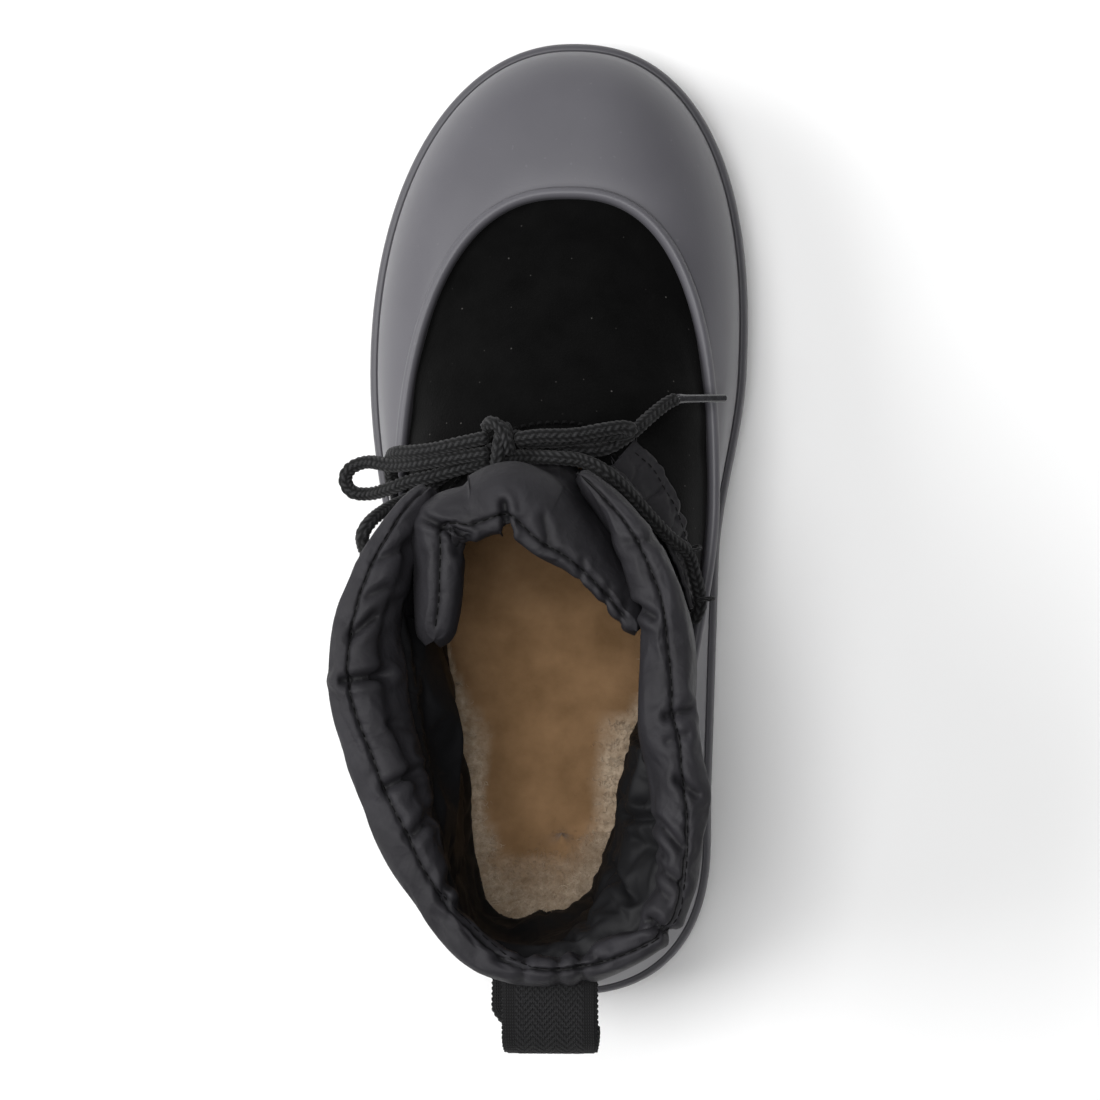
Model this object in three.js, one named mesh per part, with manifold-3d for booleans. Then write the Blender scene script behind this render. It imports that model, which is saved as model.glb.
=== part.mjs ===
// Lace-up winter boot for the left foot: a moulded foam shell with its midsole in one piece, a lugged
// rubber outsole under it, a suede upper inside it, a padded nylon shaft and tongue, a fleece insole, cord
// laces tied in a bow and a webbing pull loop. Millimetres, +Z up, +Y towards the toe, +X towards the inner
// side of the foot. The origin is on the ground, midway between the toe and the end of the pull loop.
import * as THREE from "three";
import { mergeVertices } from "three/addons/utils/BufferGeometryUtils.js";
import Module from "manifold-3d";

const wasm = await Module();
wasm.setup();

// Driving sizes of the sole's rim, its widest outline seen from above.
const TOE_Y = 152.6;
const HEEL_Y = -147.5;
const BALL = { outX: -59.7, outY: 48, inX: 60.1, inY: 62 };
const HEEL = { outX: -45, inX: 48.4, y: -96 };
const TOE_APEX_X = 4.3;
const WAIST_Y = -20; // heights are given here, at the toe and at the heel
const WAIST_END = -70; // where the waist has run into the heel

// At the rim the inner side draws in soon behind the ball: part of that narrowing is even, from the ball to
// the end, and the rest falls within a short run.
const INNER_WAIST = { end: -85, start: 0.08, run: 0.41, share: 0.6 };
const HEEL_SQUARE_IN = 0.3; // the heel is squarer on its inner side

// Heights and thicknesses.
const GAP = 0.3; // between pieces that meet
const LUG_DEPTH = 4.6;
const OUTSOLE_TOP = 8.6;
const TOE_SPRING = 11;
const SPRING_START_Y = 74;
const UPPER_WALL = 2.4;
const INSOLE_THICK = 6.5;

// The shaft is described by rays from the ankle's axis.
const ANKLE = { x: -5, y: -56 };

const COLOURS = {
  shell: { color: 0x69676c, roughness: 0.55 },
  outsole: { color: 0x2b2a2c, roughness: 0.8 },
  suede: { color: 0x121213, roughness: 0.95 },
  nylon: { color: 0x2f2d32, roughness: 0.5 },
  fleece: { color: 0xa78b66, roughness: 1 },
  cord: { color: 0x1f1f20, roughness: 0.85 },
  webbing: { color: 0x19191a, roughness: 0.85 },
  tip: { color: 0x26262a, roughness: 0.25 },
};

// Points along each stretch of a section: toe quarter, side and heel quarter.
const STEPS = { toe: 10, side: 7, heel: 8 };
const AROUND = 2 * (STEPS.toe + STEPS.side + STEPS.heel);

const boot = new THREE.Group();

const vec = (x, y, z) => new THREE.Vector3(x, y, z);
const clamp01 = (t) => Math.min(1, Math.max(0, t));
const smooth = (t) => clamp01(t) ** 2 * (3 - 2 * clamp01(t));
const mix = (a, b, t) => a + (b - a) * t;
const degrees = (d) => (d * Math.PI) / 180;

// Rows of numbers as objects, by the names of their columns.
function table(columns, rows) {
  const names = columns.split(" ");
  return rows.map((row) => Object.fromEntries(row.map((value, i) => [names[i], value])));
}

// How far the sole lifts off the ground at y.
const spring = (y) => TOE_SPRING * clamp01((y - SPRING_START_Y) / (TOE_Y - SPRING_START_Y)) ** 2;

function add(name, geometry, look) {
  const mesh = new THREE.Mesh(geometry, new THREE.MeshStandardMaterial({ metalness: 0, ...COLOURS[look] }));
  mesh.name = name;
  boot.add(mesh);
}

function indexed(positions, faces) {
  const geometry = new THREE.BufferGeometry();
  geometry.setAttribute("position", new THREE.Float32BufferAttribute(positions, 3));
  geometry.setIndex(faces);
  return geometry;
}

function toSolid(geometry) {
  const bare = geometry.clone();
  for (const name of Object.keys(bare.attributes)) {
    if (name !== "position") bare.deleteAttribute(name);
  }
  const merged = mergeVertices(bare, 1e-4);
  return new wasm.Manifold(
    new wasm.Mesh({
      numProp: 3,
      vertProperties: new Float32Array(merged.attributes.position.array),
      triVerts: new Uint32Array(merged.index.array),
    }),
  );
}

function toGeometry(solid) {
  const mesh = solid.getMesh();
  const positions = [];
  for (let i = 0; i < mesh.numVert; i++) {
    positions.push(...mesh.vertProperties.subarray(i * mesh.numProp, i * mesh.numProp + 3));
  }
  return indexed(positions, [...mesh.triVerts]);
}

// Quads between neighbouring rings of points. Rings run anticlockwise seen from outside their end. A quad is
// split the same way whether its stack goes up or down, so faces that run side by side keep their distance.
function walls(rings, faces, closed = false) {
  const n = rings[0].length;
  const last = closed ? rings.length : rings.length - 1;
  for (let r = 0; r < last; r++) {
    const next = (r + 1) % rings.length;
    const falls = rings[next][0].z < rings[r][0].z;
    for (let i = 0; i < n; i++) {
      const j = (i + 1) % n;
      const [a, b, c, d] = [r * n + i, r * n + j, next * n + j, next * n + i];
      faces.push(...(falls ? [a, b, d, b, c, d] : [a, b, c, a, c, d]));
    }
  }
}

const flat = (rings) => rings.flat().flatMap((p) => [p.x, p.y, p.z]);

// A cap ruled across the boot, from each point of the outer side to its partner on the inner side.
function ruledCap(start, n, faces, turned) {
  const push = (...corners) => {
    if (turned) corners.reverse();
    faces.push(...corners.map((corner) => start + corner));
  };
  for (let i = 0; i < n / 2; i++) {
    if (i + 1 !== n / 2) push(i, i + 1, n - i - 1);
    if (i > 0) push(i, n - i - 1, n - i);
  }
}

// A closed body through a stack of sections, with a ruled cap on the first and the last.
function loft(rings) {
  const n = rings[0].length;
  const faces = [];
  walls(rings, faces);
  ruledCap(0, n, faces, true);
  ruledCap((rings.length - 1) * n, n, faces, false);
  return indexed(flat(rings), faces);
}

// A closed wall: the sections go up outside, over the edge, down inside and back to the first.
function wallLoft(rings) {
  const faces = [];
  walls(rings, faces, true);
  return indexed(flat(rings), faces);
}

// A bar through closed outlines of the same number of points, capped at both ends.
function sweep(outlines) {
  const n = outlines[0].length;
  const faces = [];
  walls(outlines, faces);
  const cap = (ring, start, turned) => {
    const centre = ring.reduce((s, p) => s.add(p), vec(0, 0, 0)).divideScalar(n);
    const far = ring.reduce((a, p) => (p.distanceTo(centre) > a.distanceTo(centre) ? p : a), ring[0]);
    const right = far.clone().sub(centre).normalize();
    const normal = vec(0, 0, 0);
    ring.forEach((p, i) => normal.add(p.clone().sub(centre).cross(ring[(i + 1) % n].clone().sub(centre))));
    const up = normal.normalize().clone().cross(right);
    const shape = ring.map((p) => {
      const d = p.clone().sub(centre);
      return new THREE.Vector2(d.dot(right), d.dot(up));
    });
    for (const [a, b, c] of THREE.ShapeUtils.triangulateShape(shape, [])) {
      faces.push(...(turned ? [start + c, start + b, start + a] : [start + a, start + b, start + c]));
    }
  };
  cap(outlines[0], 0, true);
  cap(outlines[outlines.length - 1], (outlines.length - 1) * n, false);
  return indexed(flat(outlines), faces);
}

// One section of the foot: heights at toe, waist and heel, and how far it stands in from the sole's rim at
// the toe, the heel, the ball and the heel's sides. It starts at the toe and runs round by the outer side.
function section(row) {
  const toeY = TOE_Y - row.toe;
  const heelY = HEEL_Y + row.heel;
  const ball = {
    outX: BALL.outX + row.ballOut,
    inX: BALL.inX - row.ballIn,
    outY: row.outY ?? BALL.outY,
    inY: row.inY ?? BALL.inY,
  };
  const heel = { outX: HEEL.outX + row.heelOut, inX: HEEL.inX - row.heelIn };
  const heelX = (heel.outX + heel.inX) / 2;
  const height = (y) => {
    const forward = y > WAIST_Y;
    const far = forward ? (y - WAIST_Y) / (toeY - WAIST_Y) : (WAIST_Y - y) / (WAIST_Y - heelY);
    const curve = row.level ?? 2;
    return mix(row.zSide, forward ? row.zToe : row.zHeel, clamp01(far) ** curve);
  };
  const points = [];
  const quarter = (side, steps, isToe) => {
    const list = [];
    for (let k = 0; k < steps; k++) {
      const turn = ((k / steps) * Math.PI) / 2;
      if (isToe) {
        const e = 2 / (side === "out" ? row.nOut : row.nIn);
        const x = mix(TOE_APEX_X, ball[side + "X"], Math.sin(turn) ** e);
        const y = mix(ball[side + "Y"], toeY, Math.cos(turn) ** e);
        list.push([x, y]);
      } else {
        const e = 2 / (side === "out" ? row.nHeel : row.nHeel + HEEL_SQUARE_IN);
        const x = mix(heelX, heel[side + "X"], Math.sin(turn) ** e);
        const y = mix(HEEL.y, heelY, Math.cos(turn) ** e);
        list.push([x, y]);
      }
    }
    return list;
  };
  const narrowing = (name, y) => {
    const even = smooth((ball[name + "Y"] - y) / (ball[name + "Y"] - WAIST_END));
    const t = clamp01((BALL.inY - y) / (BALL.inY - INNER_WAIST.end));
    const early = mix(t, smooth((t - INNER_WAIST.start) / INNER_WAIST.run), INNER_WAIST.share);
    return name === "out" ? even : mix(even, early, row.waist ?? 0);
  };
  const side = (name) => {
    const list = [];
    for (let k = 0; k < STEPS.side; k++) {
      const y = mix(ball[name + "Y"], HEEL.y, k / STEPS.side);
      list.push([mix(ball[name + "X"], heel[name + "X"], narrowing(name, y)), y]);
    }
    return list;
  };
  const turnRound = (list, end) => [...list.slice(1).reverse(), end];
  const toeOut = quarter("out", STEPS.toe, true);
  const toeIn = quarter("in", STEPS.toe, true);
  const heelOut = quarter("out", STEPS.heel, false);
  const heelIn = quarter("in", STEPS.heel, false);
  points.push(...toeOut, ...side("out"));
  points.push([heel.outX, HEEL.y], ...turnRound(heelOut, heelOut[0]));
  points.push(...heelIn.slice(1), [heel.inX, HEEL.y]);
  points.push(...turnRound(side("in"), side("in")[0]));
  points.push(...toeIn.slice(1).reverse());
  return points.map(([x, y]) => vec(x, y, height(y)));
}

// Outward normals of a stack of sections that goes upwards.
function normals(rings) {
  const n = rings[0].length;
  return rings.map((ring, r) =>
    ring.map((_, i) => {
      const along = ring[(i + 1) % n].clone().sub(ring[(i + n - 1) % n]);
      const up = rings[Math.min(r + 1, rings.length - 1)][i].clone().sub(rings[Math.max(r - 1, 0)][i]);
      return along.cross(up).normalize();
    }),
  );
}

function offset(rings, distance) {
  const out = normals(rings);
  return rings.map((ring, r) => ring.map((p, i) => p.clone().addScaledVector(out[r][i], distance)));
}

// A section moved sideways, along its level normals.
function inset(ring, distance) {
  const n = ring.length;
  return ring.map((p, i) => {
    const along = ring[(i + 1) % n].clone().sub(ring[(i + n - 1) % n]).setZ(0).normalize();
    return p.clone().add(vec(-along.y * distance, along.x * distance, 0));
  });
}

// The outer face of the suede upper, from the feather line inside the shell up to the shaft's seam.
const UPPER_ROWS = table("zToe zSide zHeel toe heel ballOut ballIn heelOut heelIn nOut nIn nHeel outY inY", [
  [33, 31, 37, 15, 16, 9.5, 9.5, 11, 11.5, 2.1, 2.35, 2.2, 48, 62],
  [44, 42, 49, 12, 11.5, 8, 7.5, 9, 9.5, 2.1, 2.35, 2.2, 48, 62],
  [53, 51, 59, 19, 12.5, 9.5, 8.5, 9.5, 10, 2.15, 2.4, 2.2, 40, 54],
  [61, 58, 67, 34, 14, 12, 10.5, 10, 10.5, 2.25, 2.5, 2.2, 22, 34],
  [66.5, 62, 72, 52.5, 15, 14.9, 13, 10.5, 11, 2.4, 2.6, 2.2, 0, 10],
  [74, 71, 80, 74, 15.5, 16.2, 14.3, 11, 11.5, 2.35, 2.5, 2.2, -6, 0],
  [83, 80, 88, 94.5, 16, 17.5, 15.8, 11.3, 12, 2.3, 2.35, 2.2, -12, -10],
  [92, 88, 95, 112, 16.2, 18.5, 17.2, 11.5, 12.4, 2.2, 2.15, 2.2, -18, -20],
  [100, 94, 100, 124.5, 16.3, 19, 18, 11.6, 12.7, 2.1, 1.98, 2.2, -24, -29],
  [105, 98, 104, 131, 16.3, 19, 18.2, 11.6, 12.8, 2.05, 1.85, 2.2, -27, -35],
]);
const LIP_ROW = 4; // the section that the shell's lip holds
const UPPER = UPPER_ROWS.map(section);
const SEAM = UPPER[UPPER.length - 1];

// The shell: its band stands proud of the wall above it, which domes over the toe and ends in a rolled lip.
const SHELL_ROWS = table("zToe zSide zHeel toe heel ballOut ballIn heelOut heelIn nOut nIn outY inY waist", [
  [9 + TOE_SPRING, 9, 9, 4.5, 3, 3, 3, 3, 3, 2.1, 2.35, 48, 62, 1],
  [12 + TOE_SPRING, 12, 12, 0.8, 0.6, 0.6, 0.6, 0.6, 0.6, 2.1, 2.35, 48, 62, 1],
  [16.5 + TOE_SPRING * 0.8, 17.5, 18, 0, 0, 0, 0, 0, 0, 2.1, 2.35, 48, 62, 1],
  [21.5 + TOE_SPRING * 0.6, 23, 25, 0.3, 0.3, 0.3, 0.3, 0.3, 0.3, 2.1, 2.35, 48, 62, 1],
  [22.5 + TOE_SPRING * 0.6, 24, 26, 1.6, 1.6, 1.6, 1.6, 1.6, 1.6, 2.1, 2.35, 48, 62, 1],
  [22.7 + TOE_SPRING * 0.6, 24.2, 26.3, 2.6, 2.6, 2.6, 2.6, 2.6, 2.6, 2.1, 2.35, 48, 62, 1],
  [38, 34, 38, 3.6, 3.6, 3.6, 3, 2.6, 2.6, 2.1, 2.35, 48, 62, 0.85],
  [47, 44, 50, 7.6, 6, 5.2, 4.2, 3.4, 3.4, 2.12, 2.38, 45, 58, 0.6],
  [55, 52, 59, 15.5, 8.4, 7.4, 5.8, 4.6, 4.6, 2.2, 2.42, 36, 48, 0.35],
  [61.5, 57.5, 66, 28, 10.6, 9.8, 7.8, 6, 6, 2.26, 2.48, 20, 30, 0.15],
  [65.4, 61, 70.5, 42, 12, 11.7, 9.7, 7.3, 7.4, 2.34, 2.55, 8, 18, 0],
]);

// The rolled lip, as steps in from the upper's own section: out along it and up above it.
const LIP_ROLL = [
  { out: 3.5, up: 0.2 },
  { out: 3.4, up: 1.8 },
  { out: 2.2, up: 2.9 },
  { out: 0.9, up: 2.5 },
  { out: GAP * 1.8, up: 1.2 },
];

function buildShell() {
  const outside = SHELL_ROWS.map((row) => section({ nOut: 2.1, nIn: 2.35, nHeel: 2.15, ...row }));
  const facing = normals(UPPER)[LIP_ROW];
  const held = UPPER[LIP_ROW];
  const lip = LIP_ROLL.map(({ out, up }) =>
    held.map((p, i) => {
      const away = vec(facing[i].x, facing[i].y, 0).normalize();
      return p.clone().addScaledVector(away, out).add(vec(0, 0, up));
    }),
  );
  const cavity = offset(UPPER.slice(0, LIP_ROW + 1), GAP).slice(0, LIP_ROW).reverse();
  const floor = cavity[cavity.length - 1].map((p) => vec(p.x, p.y, p.z - GAP));
  add("shell", loft([...outside, ...lip, ...cavity, floor]), "shell");
}

function buildUpper() {
  const inner = [...offset(UPPER, -UPPER_WALL).slice(0, -1), inset(SEAM, UPPER_WALL)].reverse();
  add("upper", wallLoft([...UPPER, ...inner]), "suede");
}

// The outsole: a plate under the shell, cut by grooves into lugs, with a lifted arch.
const GROOVES = { width: 5, pitch: 17.5, firstY: -126, lastY: 128 };
const ARCH = { fromY: -50, toY: -12, height: 3.2 };
const OUTSOLE_ROWS = table("zToe zSide zHeel toe heel ballOut ballIn heelOut heelIn nOut nIn nHeel waist", [
  [0, 0, 0, 5, 3.4, 3.4, 3.4, 3.4, 3.4, 2.1, 2.35, 2.15, 1],
  [0, 0, 0, 8, 5, 4.6, 4.6, 4.6, 4.6, 2.1, 2.35, 2.15, 1],
]);

function buildOutsole() {
  const [plan, foot] = OUTSOLE_ROWS.map(section);
  const lift = (ring, z) => ring.map((p) => vec(p.x, p.y, z + spring(p.y)));
  let solid = toSolid(loft([lift(foot, 0), lift(plan, 3), lift(plan, OUTSOLE_TOP)]));
  const cut = (x, y, z, width, length, height, turn) => {
    const box = new THREE.BoxGeometry(width, length, height);
    const slope = Math.atan2(spring(y + 1) - spring(y - 1), 2);
    box.applyMatrix4(new THREE.Matrix4().makeRotationFromEuler(new THREE.Euler(slope, 0, turn)));
    box.translate(x, y, z + spring(y) - height / 2);
    solid = solid.subtract(toSolid(box));
  };
  const tall = 40;
  const count = Math.round((GROOVES.lastY - GROOVES.firstY) / GROOVES.pitch);
  for (let k = 0; k <= count; k++) {
    const y = mix(GROOVES.firstY, GROOVES.lastY, k / count);
    if (y > ARCH.fromY - 6 && y < ARCH.toY + 6) continue;
    const lean = degrees(y > ARCH.toY ? 16 : -14);
    for (const side of [-1, 1]) {
      cut(side * 38, y + side * Math.tan(lean) * 4, LUG_DEPTH, 58, GROOVES.width, tall, side * lean);
    }
  }
  cut(0, (ARCH.fromY + ARCH.toY) / 2, ARCH.height, 160, ARCH.toY - ARCH.fromY, tall, 0);
  add("outsole", toGeometry(solid), "outsole");
}

// The insole: a slab on the shell's floor, inside the upper's wall.
function buildInsole() {
  const inner = offset(UPPER, -(UPPER_WALL + GAP));
  const levels = [0, 0.55, 1].map((t) => {
    const z = mix(GAP, INSOLE_THICK, t);
    const shrink = t === 1 ? 0.985 : 1;
    return inner[0].map((p, i) => {
      const q = p.clone().lerp(inner[1][i], z / 12);
      return vec(q.x * shrink, mix(ANKLE.y, q.y, t === 1 ? 0.99 : 1), p.z + z);
    });
  });
  add("insole", loft(levels), "fleece");
}

// Where the ray at an angle from the ankle's axis meets a section; 0 is the toe and 90 the inner side.
function onRay(ring, angle) {
  const dir = new THREE.Vector2(Math.sin(degrees(angle)), Math.cos(degrees(angle)));
  for (let i = 0; i < ring.length; i++) {
    const a = ring[i];
    const b = ring[(i + 1) % ring.length];
    const ca = dir.x * (a.y - ANKLE.y) - dir.y * (a.x - ANKLE.x);
    const cb = dir.x * (b.y - ANKLE.y) - dir.y * (b.x - ANKLE.x);
    if (ca > 0 === cb > 0) continue;
    const p = a.clone().lerp(b, ca / (ca - cb));
    const reach = (p.x - ANKLE.x) * dir.x + (p.y - ANKLE.y) * dir.y;
    if (reach > 0) return { reach, z: p.z };
  }
  throw new Error("no point on the ray at " + angle);
}

const fromAnkle = (angle, reach, z) =>
  vec(ANKLE.x + reach * Math.sin(degrees(angle)), ANKLE.y + reach * Math.cos(degrees(angle)), z);

// The shaft's slack top edge, by angle from the toe round by the inner side: how far its outer face stands
// from the ankle's axis, how thick its roll is, the height of its top, and how far the wall below swells out.
const COLLAR = table("angle reach thick top bulge", [
  [12, 76.5, 6.5, 137, -4.5],
  [21, 72, 10, 141, -4.5],
  [34, 66, 14, 146, -3],
  [50, 59.3, 16, 149, 0],
  [66, 53.5, 17, 150, 3],
  [82, 50.5, 17, 151, 4.5],
  [98, 52.3, 18, 152, 4.5],
  [114, 59, 18, 152, 4.5],
  [130, 66, 16, 152, 4.5],
  [144, 76.3, 13, 153, 4],
  [160, 77.6, 10, 153, 3],
  [176, 76.6, 9, 153, 3],
  [192, 73.8, 12, 153, 3],
  [204, 66.3, 16, 152, 4],
  [216, 59.8, 18, 152, 4.5],
  [232, 55, 18, 152, 4.5],
  [248, 52, 17, 151, 4.5],
  [264, 53.8, 16.5, 151, 4.5],
  [284, 58.2, 16.5, 151, 4.5],
  [304, 63.8, 15, 149, 4],
  [320, 69, 13.5, 147, 2],
  [332, 74.3, 9.5, 143, -1],
  [338, 76, 6.5, 139, -1.5],
]);

// Smooth value of one column at an angle, through the rows round it.
function column(rows, key, angle) {
  const last = rows.length - 1;
  let k = rows.findIndex((row) => row.angle > angle) - 1;
  if (k < 0) k = angle < rows[0].angle ? 0 : last - 1;
  const at = (i) => rows[Math.min(last, Math.max(0, i))];
  const t = clamp01((angle - at(k).angle) / (at(k + 1).angle - at(k).angle));
  const span = at(k + 1).angle - at(k).angle;
  const slope = (i) => (at(i + 1)[key] - at(i - 1)[key]) / (at(i + 1).angle - at(i - 1).angle);
  const [a, b] = [at(k)[key], at(k + 1)[key]];
  const [ma, mb] = [slope(k) * span, slope(k + 1) * span];
  const rise = 3 * t ** 2 - 2 * t ** 3;
  return mix(a, b, rise) + (t ** 3 - 2 * t ** 2 + t) * ma + (t ** 3 - t ** 2) * mb;
}

// The shaft's wall in one upright plane, as points given by a share of the way from the seam to the top, and
// steps out from the face at that height. The notch at the top is the stitched channel.
const SEAM_WALL = 4.6;
function shaftOutline(angle) {
  const seam = onRay(SEAM, angle);
  const reach = column(COLLAR, "reach", angle);
  const thick = column(COLLAR, "thick", angle);
  const top = column(COLLAR, "top", angle);
  const bulge = column(COLLAR, "bulge", angle);
  const base = seam.z + GAP;
  const face = (t) => {
    const swell = Math.sin(Math.PI * clamp01(t * 1.12)) * (1 - t * 0.7);
    return mix(seam.reach, reach, smooth((t + t * t) / 2)) + bulge * swell;
  };
  const height = (t) => mix(base, top, t);
  const back = (t) => mix(SEAM_WALL, thick, smooth((t - 0.35) / 0.5));
  const outline = [
    [seam.reach, base],
    [face(0.2), height(0.2)],
    [face(0.45), height(0.45)],
    [face(0.7), height(0.7)],
    [reach, height(0.88)],
    [reach - thick * 0.12, height(0.97)],
    [reach - thick * 0.3, top],
    [reach - thick * 0.42, top - 2.2],
    [reach - thick * 0.56, top - 0.3],
    [reach - thick * 0.82, height(0.96)],
    [reach - thick, height(0.86)],
    [face(0.7) - back(0.7), height(0.7)],
    [face(0.4) - back(0.4), height(0.4)],
    [seam.reach - SEAM_WALL, base],
  ];
  return outline.map(([r, z]) => fromAnkle(angle, r, z));
}

const COLLAR_STEPS = 52;
const STATIONS = Array.from({ length: COLLAR_STEPS + 1 }, (_, k) =>
  mix(COLLAR[0].angle, COLLAR[COLLAR.length - 1].angle, k / COLLAR_STEPS),
);

function buildShaft() {
  add("shaft", sweep(STATIONS.map(shaftOutline)), "nylon");
}

// The tongue: a padded panel, wide and folded back on itself at the outer side. Each row is a station along
// it, from the free fold on the outer side to the inner side: its top edge's place and thickness, and the
// angle of its foot, which lies inside the seam of the upper and the shaft, as deep as the wall there.
const TONGUE = table("x y top thick foot deep", [
  [-31, -32, 143, 9, -51, 5.75],
  [-29.6, -22, 147, 13, -41, 5.75],
  [-29, -9, 148, 13, -31, 5.75],
  [-27, -0.5, 148, 13, -23, 5.75],
  [-19.5, 4, 149, 14, -13, 2.8],
  [-9, 4.5, 149, 14, -3, 2],
  [-0.5, -2.5, 148, 13, 5, 2],
  [8.5, -9.5, 147, 11, 17, 5.8],
  [17.5, -18, 145, 9, 35, 5.75],
  [25.5, -28, 141, 7, 50, 5.75],
]);
const TONGUE_STEPS = 30;
const TONGUE_PANEL = 6; // thickness of the panel below its edge roll
const TONGUE_LAP = 3; // how far its foot reaches below the seam

// The tongue's foot lies against the shaft's seam from inside.
function tongueFoot({ foot, deep }) {
  const line = onRay(inset(SEAM, deep + TONGUE_PANEL / 2), foot);
  return fromAnkle(foot, line.reach, line.z - TONGUE_LAP);
}

function buildTongue() {
  const topLine = new THREE.CatmullRomCurve3(TONGUE.map((row) => vec(row.x, row.y, row.top)));
  const footLine = new THREE.CatmullRomCurve3(TONGUE.map(tongueFoot));
  const thickLine = new THREE.CatmullRomCurve3(TONGUE.map((row) => vec(row.thick, 0, 0)));
  const outlines = [];
  for (let k = 0; k <= TONGUE_STEPS; k++) {
    const t = k / TONGUE_STEPS;
    const top = topLine.getPoint(t);
    const foot = footLine.getPoint(t);
    const thick = thickLine.getPoint(t).x;
    const along = topLine.getTangent(t).setZ(0).normalize();
    const out = vec(-along.y, along.x, 0);
    const place = (share, step) => top.clone().lerp(foot, share).addScaledVector(out, step);
    outlines.push([
      place(1, TONGUE_PANEL / 2),
      place(0.5, TONGUE_PANEL / 2 + 1),
      place(0.16, thick / 2),
      place(0.05, thick / 2 - 1),
      place(0, thick / 5),
      place(0.04, 0),
      place(0, -thick / 5),
      place(0.05, 1 - thick / 2),
      place(0.16, -thick / 2),
      place(0.5, -TONGUE_PANEL / 2),
      place(1, -TONGUE_PANEL / 2),
    ]);
  }
  add("tongue", sweep(outlines), "nylon");
}

// The facings: nylon strips over the seam between the suede and the shaft, which carry the lace's loops.
const FACINGS = [
  { name: "facing_inner", from: 22, to: 64 },
  { name: "facing_outer", from: 327, to: 290 },
];
const FACING = { low: -8, high: 8, thick: 1.8, skin: 0.85, steps: 10 };

// How far the boot's outer face stands from the ankle's axis at a height near the seam.
function faceReach(angle, z) {
  const seam = onRay(SEAM, angle);
  if (z >= seam.z) {
    const [low, high] = shaftOutline(angle);
    const reach = (p) => Math.hypot(p.x - ANKLE.x, p.y - ANKLE.y);
    return mix(reach(low), reach(high), clamp01((z - low.z) / (high.z - low.z)));
  }
  const below = onRay(UPPER[UPPER.length - 3], angle);
  return mix(below.reach, seam.reach, clamp01((z - below.z) / (seam.z - below.z)));
}

// A place at a distance off the boot's outer face, square to that face.
function offFace(angle, z, lift) {
  const at = (a) => fromAnkle(a, faceReach(a, z), z);
  const along = at(angle + 1).sub(at(angle - 1)).normalize();
  return at(angle).addScaledVector(vec(-along.y, along.x, 0), lift);
}

function buildFacings() {
  const levels = [FACING.low, 0, FACING.high];
  for (const facing of FACINGS) {
    const outlines = [];
    for (let k = 0; k <= FACING.steps; k++) {
      const angle = mix(facing.from, facing.to, k / FACING.steps);
      const mid = onRay(SEAM, angle).z;
      const back = levels.map((dz) => offFace(angle, mid + dz, FACING.skin));
      const front = levels.map((dz) => offFace(angle, mid + dz, FACING.skin + FACING.thick));
      outlines.push([...front, ...back.reverse()]);
    }
    if (facing.to < facing.from) outlines.reverse();
    add(facing.name, sweep(outlines), "nylon");
  }
}

// Lace loops on the facings: each is a bow of thick cord that stands on the strip and holds the lace.
const LOOPS = [
  { name: "lace_loop_inner_1", angle: 42, up: 0 },
  { name: "lace_loop_inner_2", angle: 54, up: 0 },
  { name: "lace_loop_outer_1", angle: 311, up: 0 },
  { name: "lace_loop_outer_2", angle: 298, up: 0 },
];
const LOOP_BOW = { half: 4.9, foot: 0.85, stand: 8.6, wire: 2.2, steps: 8, sides: 6 };

// Where a loop's middle stands: its angle, reach and height, with steps outwards and upwards.
function onLoop(loop, out, up) {
  const mid = onRay(SEAM, loop.angle).z + loop.up;
  return offFace(loop.angle, mid + up, FACING.skin + FACING.thick + out);
}

function buildLoops() {
  for (const loop of LOOPS) {
    const { half, foot, stand, wire, steps, sides } = LOOP_BOW;
    const [shoulder, wide] = [stand * 0.55, half * 0.95];
    const profile = [[foot, -half], [shoulder, -wide], [stand, 0], [shoulder, wide], [foot, half]];
    const route = profile.map(([out, up]) => onLoop(loop, out, up).toArray());
    add(loop.name, tube(route, steps, sides, wire), "webbing");
  }
}

// Cords are tubes round smooth curves through points chosen by hand.
const CORD = 4.4;
function tube(points, steps, sides = 8, diameter = CORD) {
  const curve = new THREE.CatmullRomCurve3(points.map((p) => vec(...p)), false, "centripetal");
  const shape = new THREE.Shape();
  for (let k = 0; k < sides; k++) {
    const a = (k / sides) * 2 * Math.PI;
    const [x, y] = [(Math.cos(a) * diameter) / 2, (Math.sin(a) * diameter) / 2];
    if (k) shape.lineTo(x, y);
    else shape.moveTo(x, y);
  }
  return new THREE.ExtrudeGeometry(shape, { steps, extrudePath: curve });
}

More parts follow.
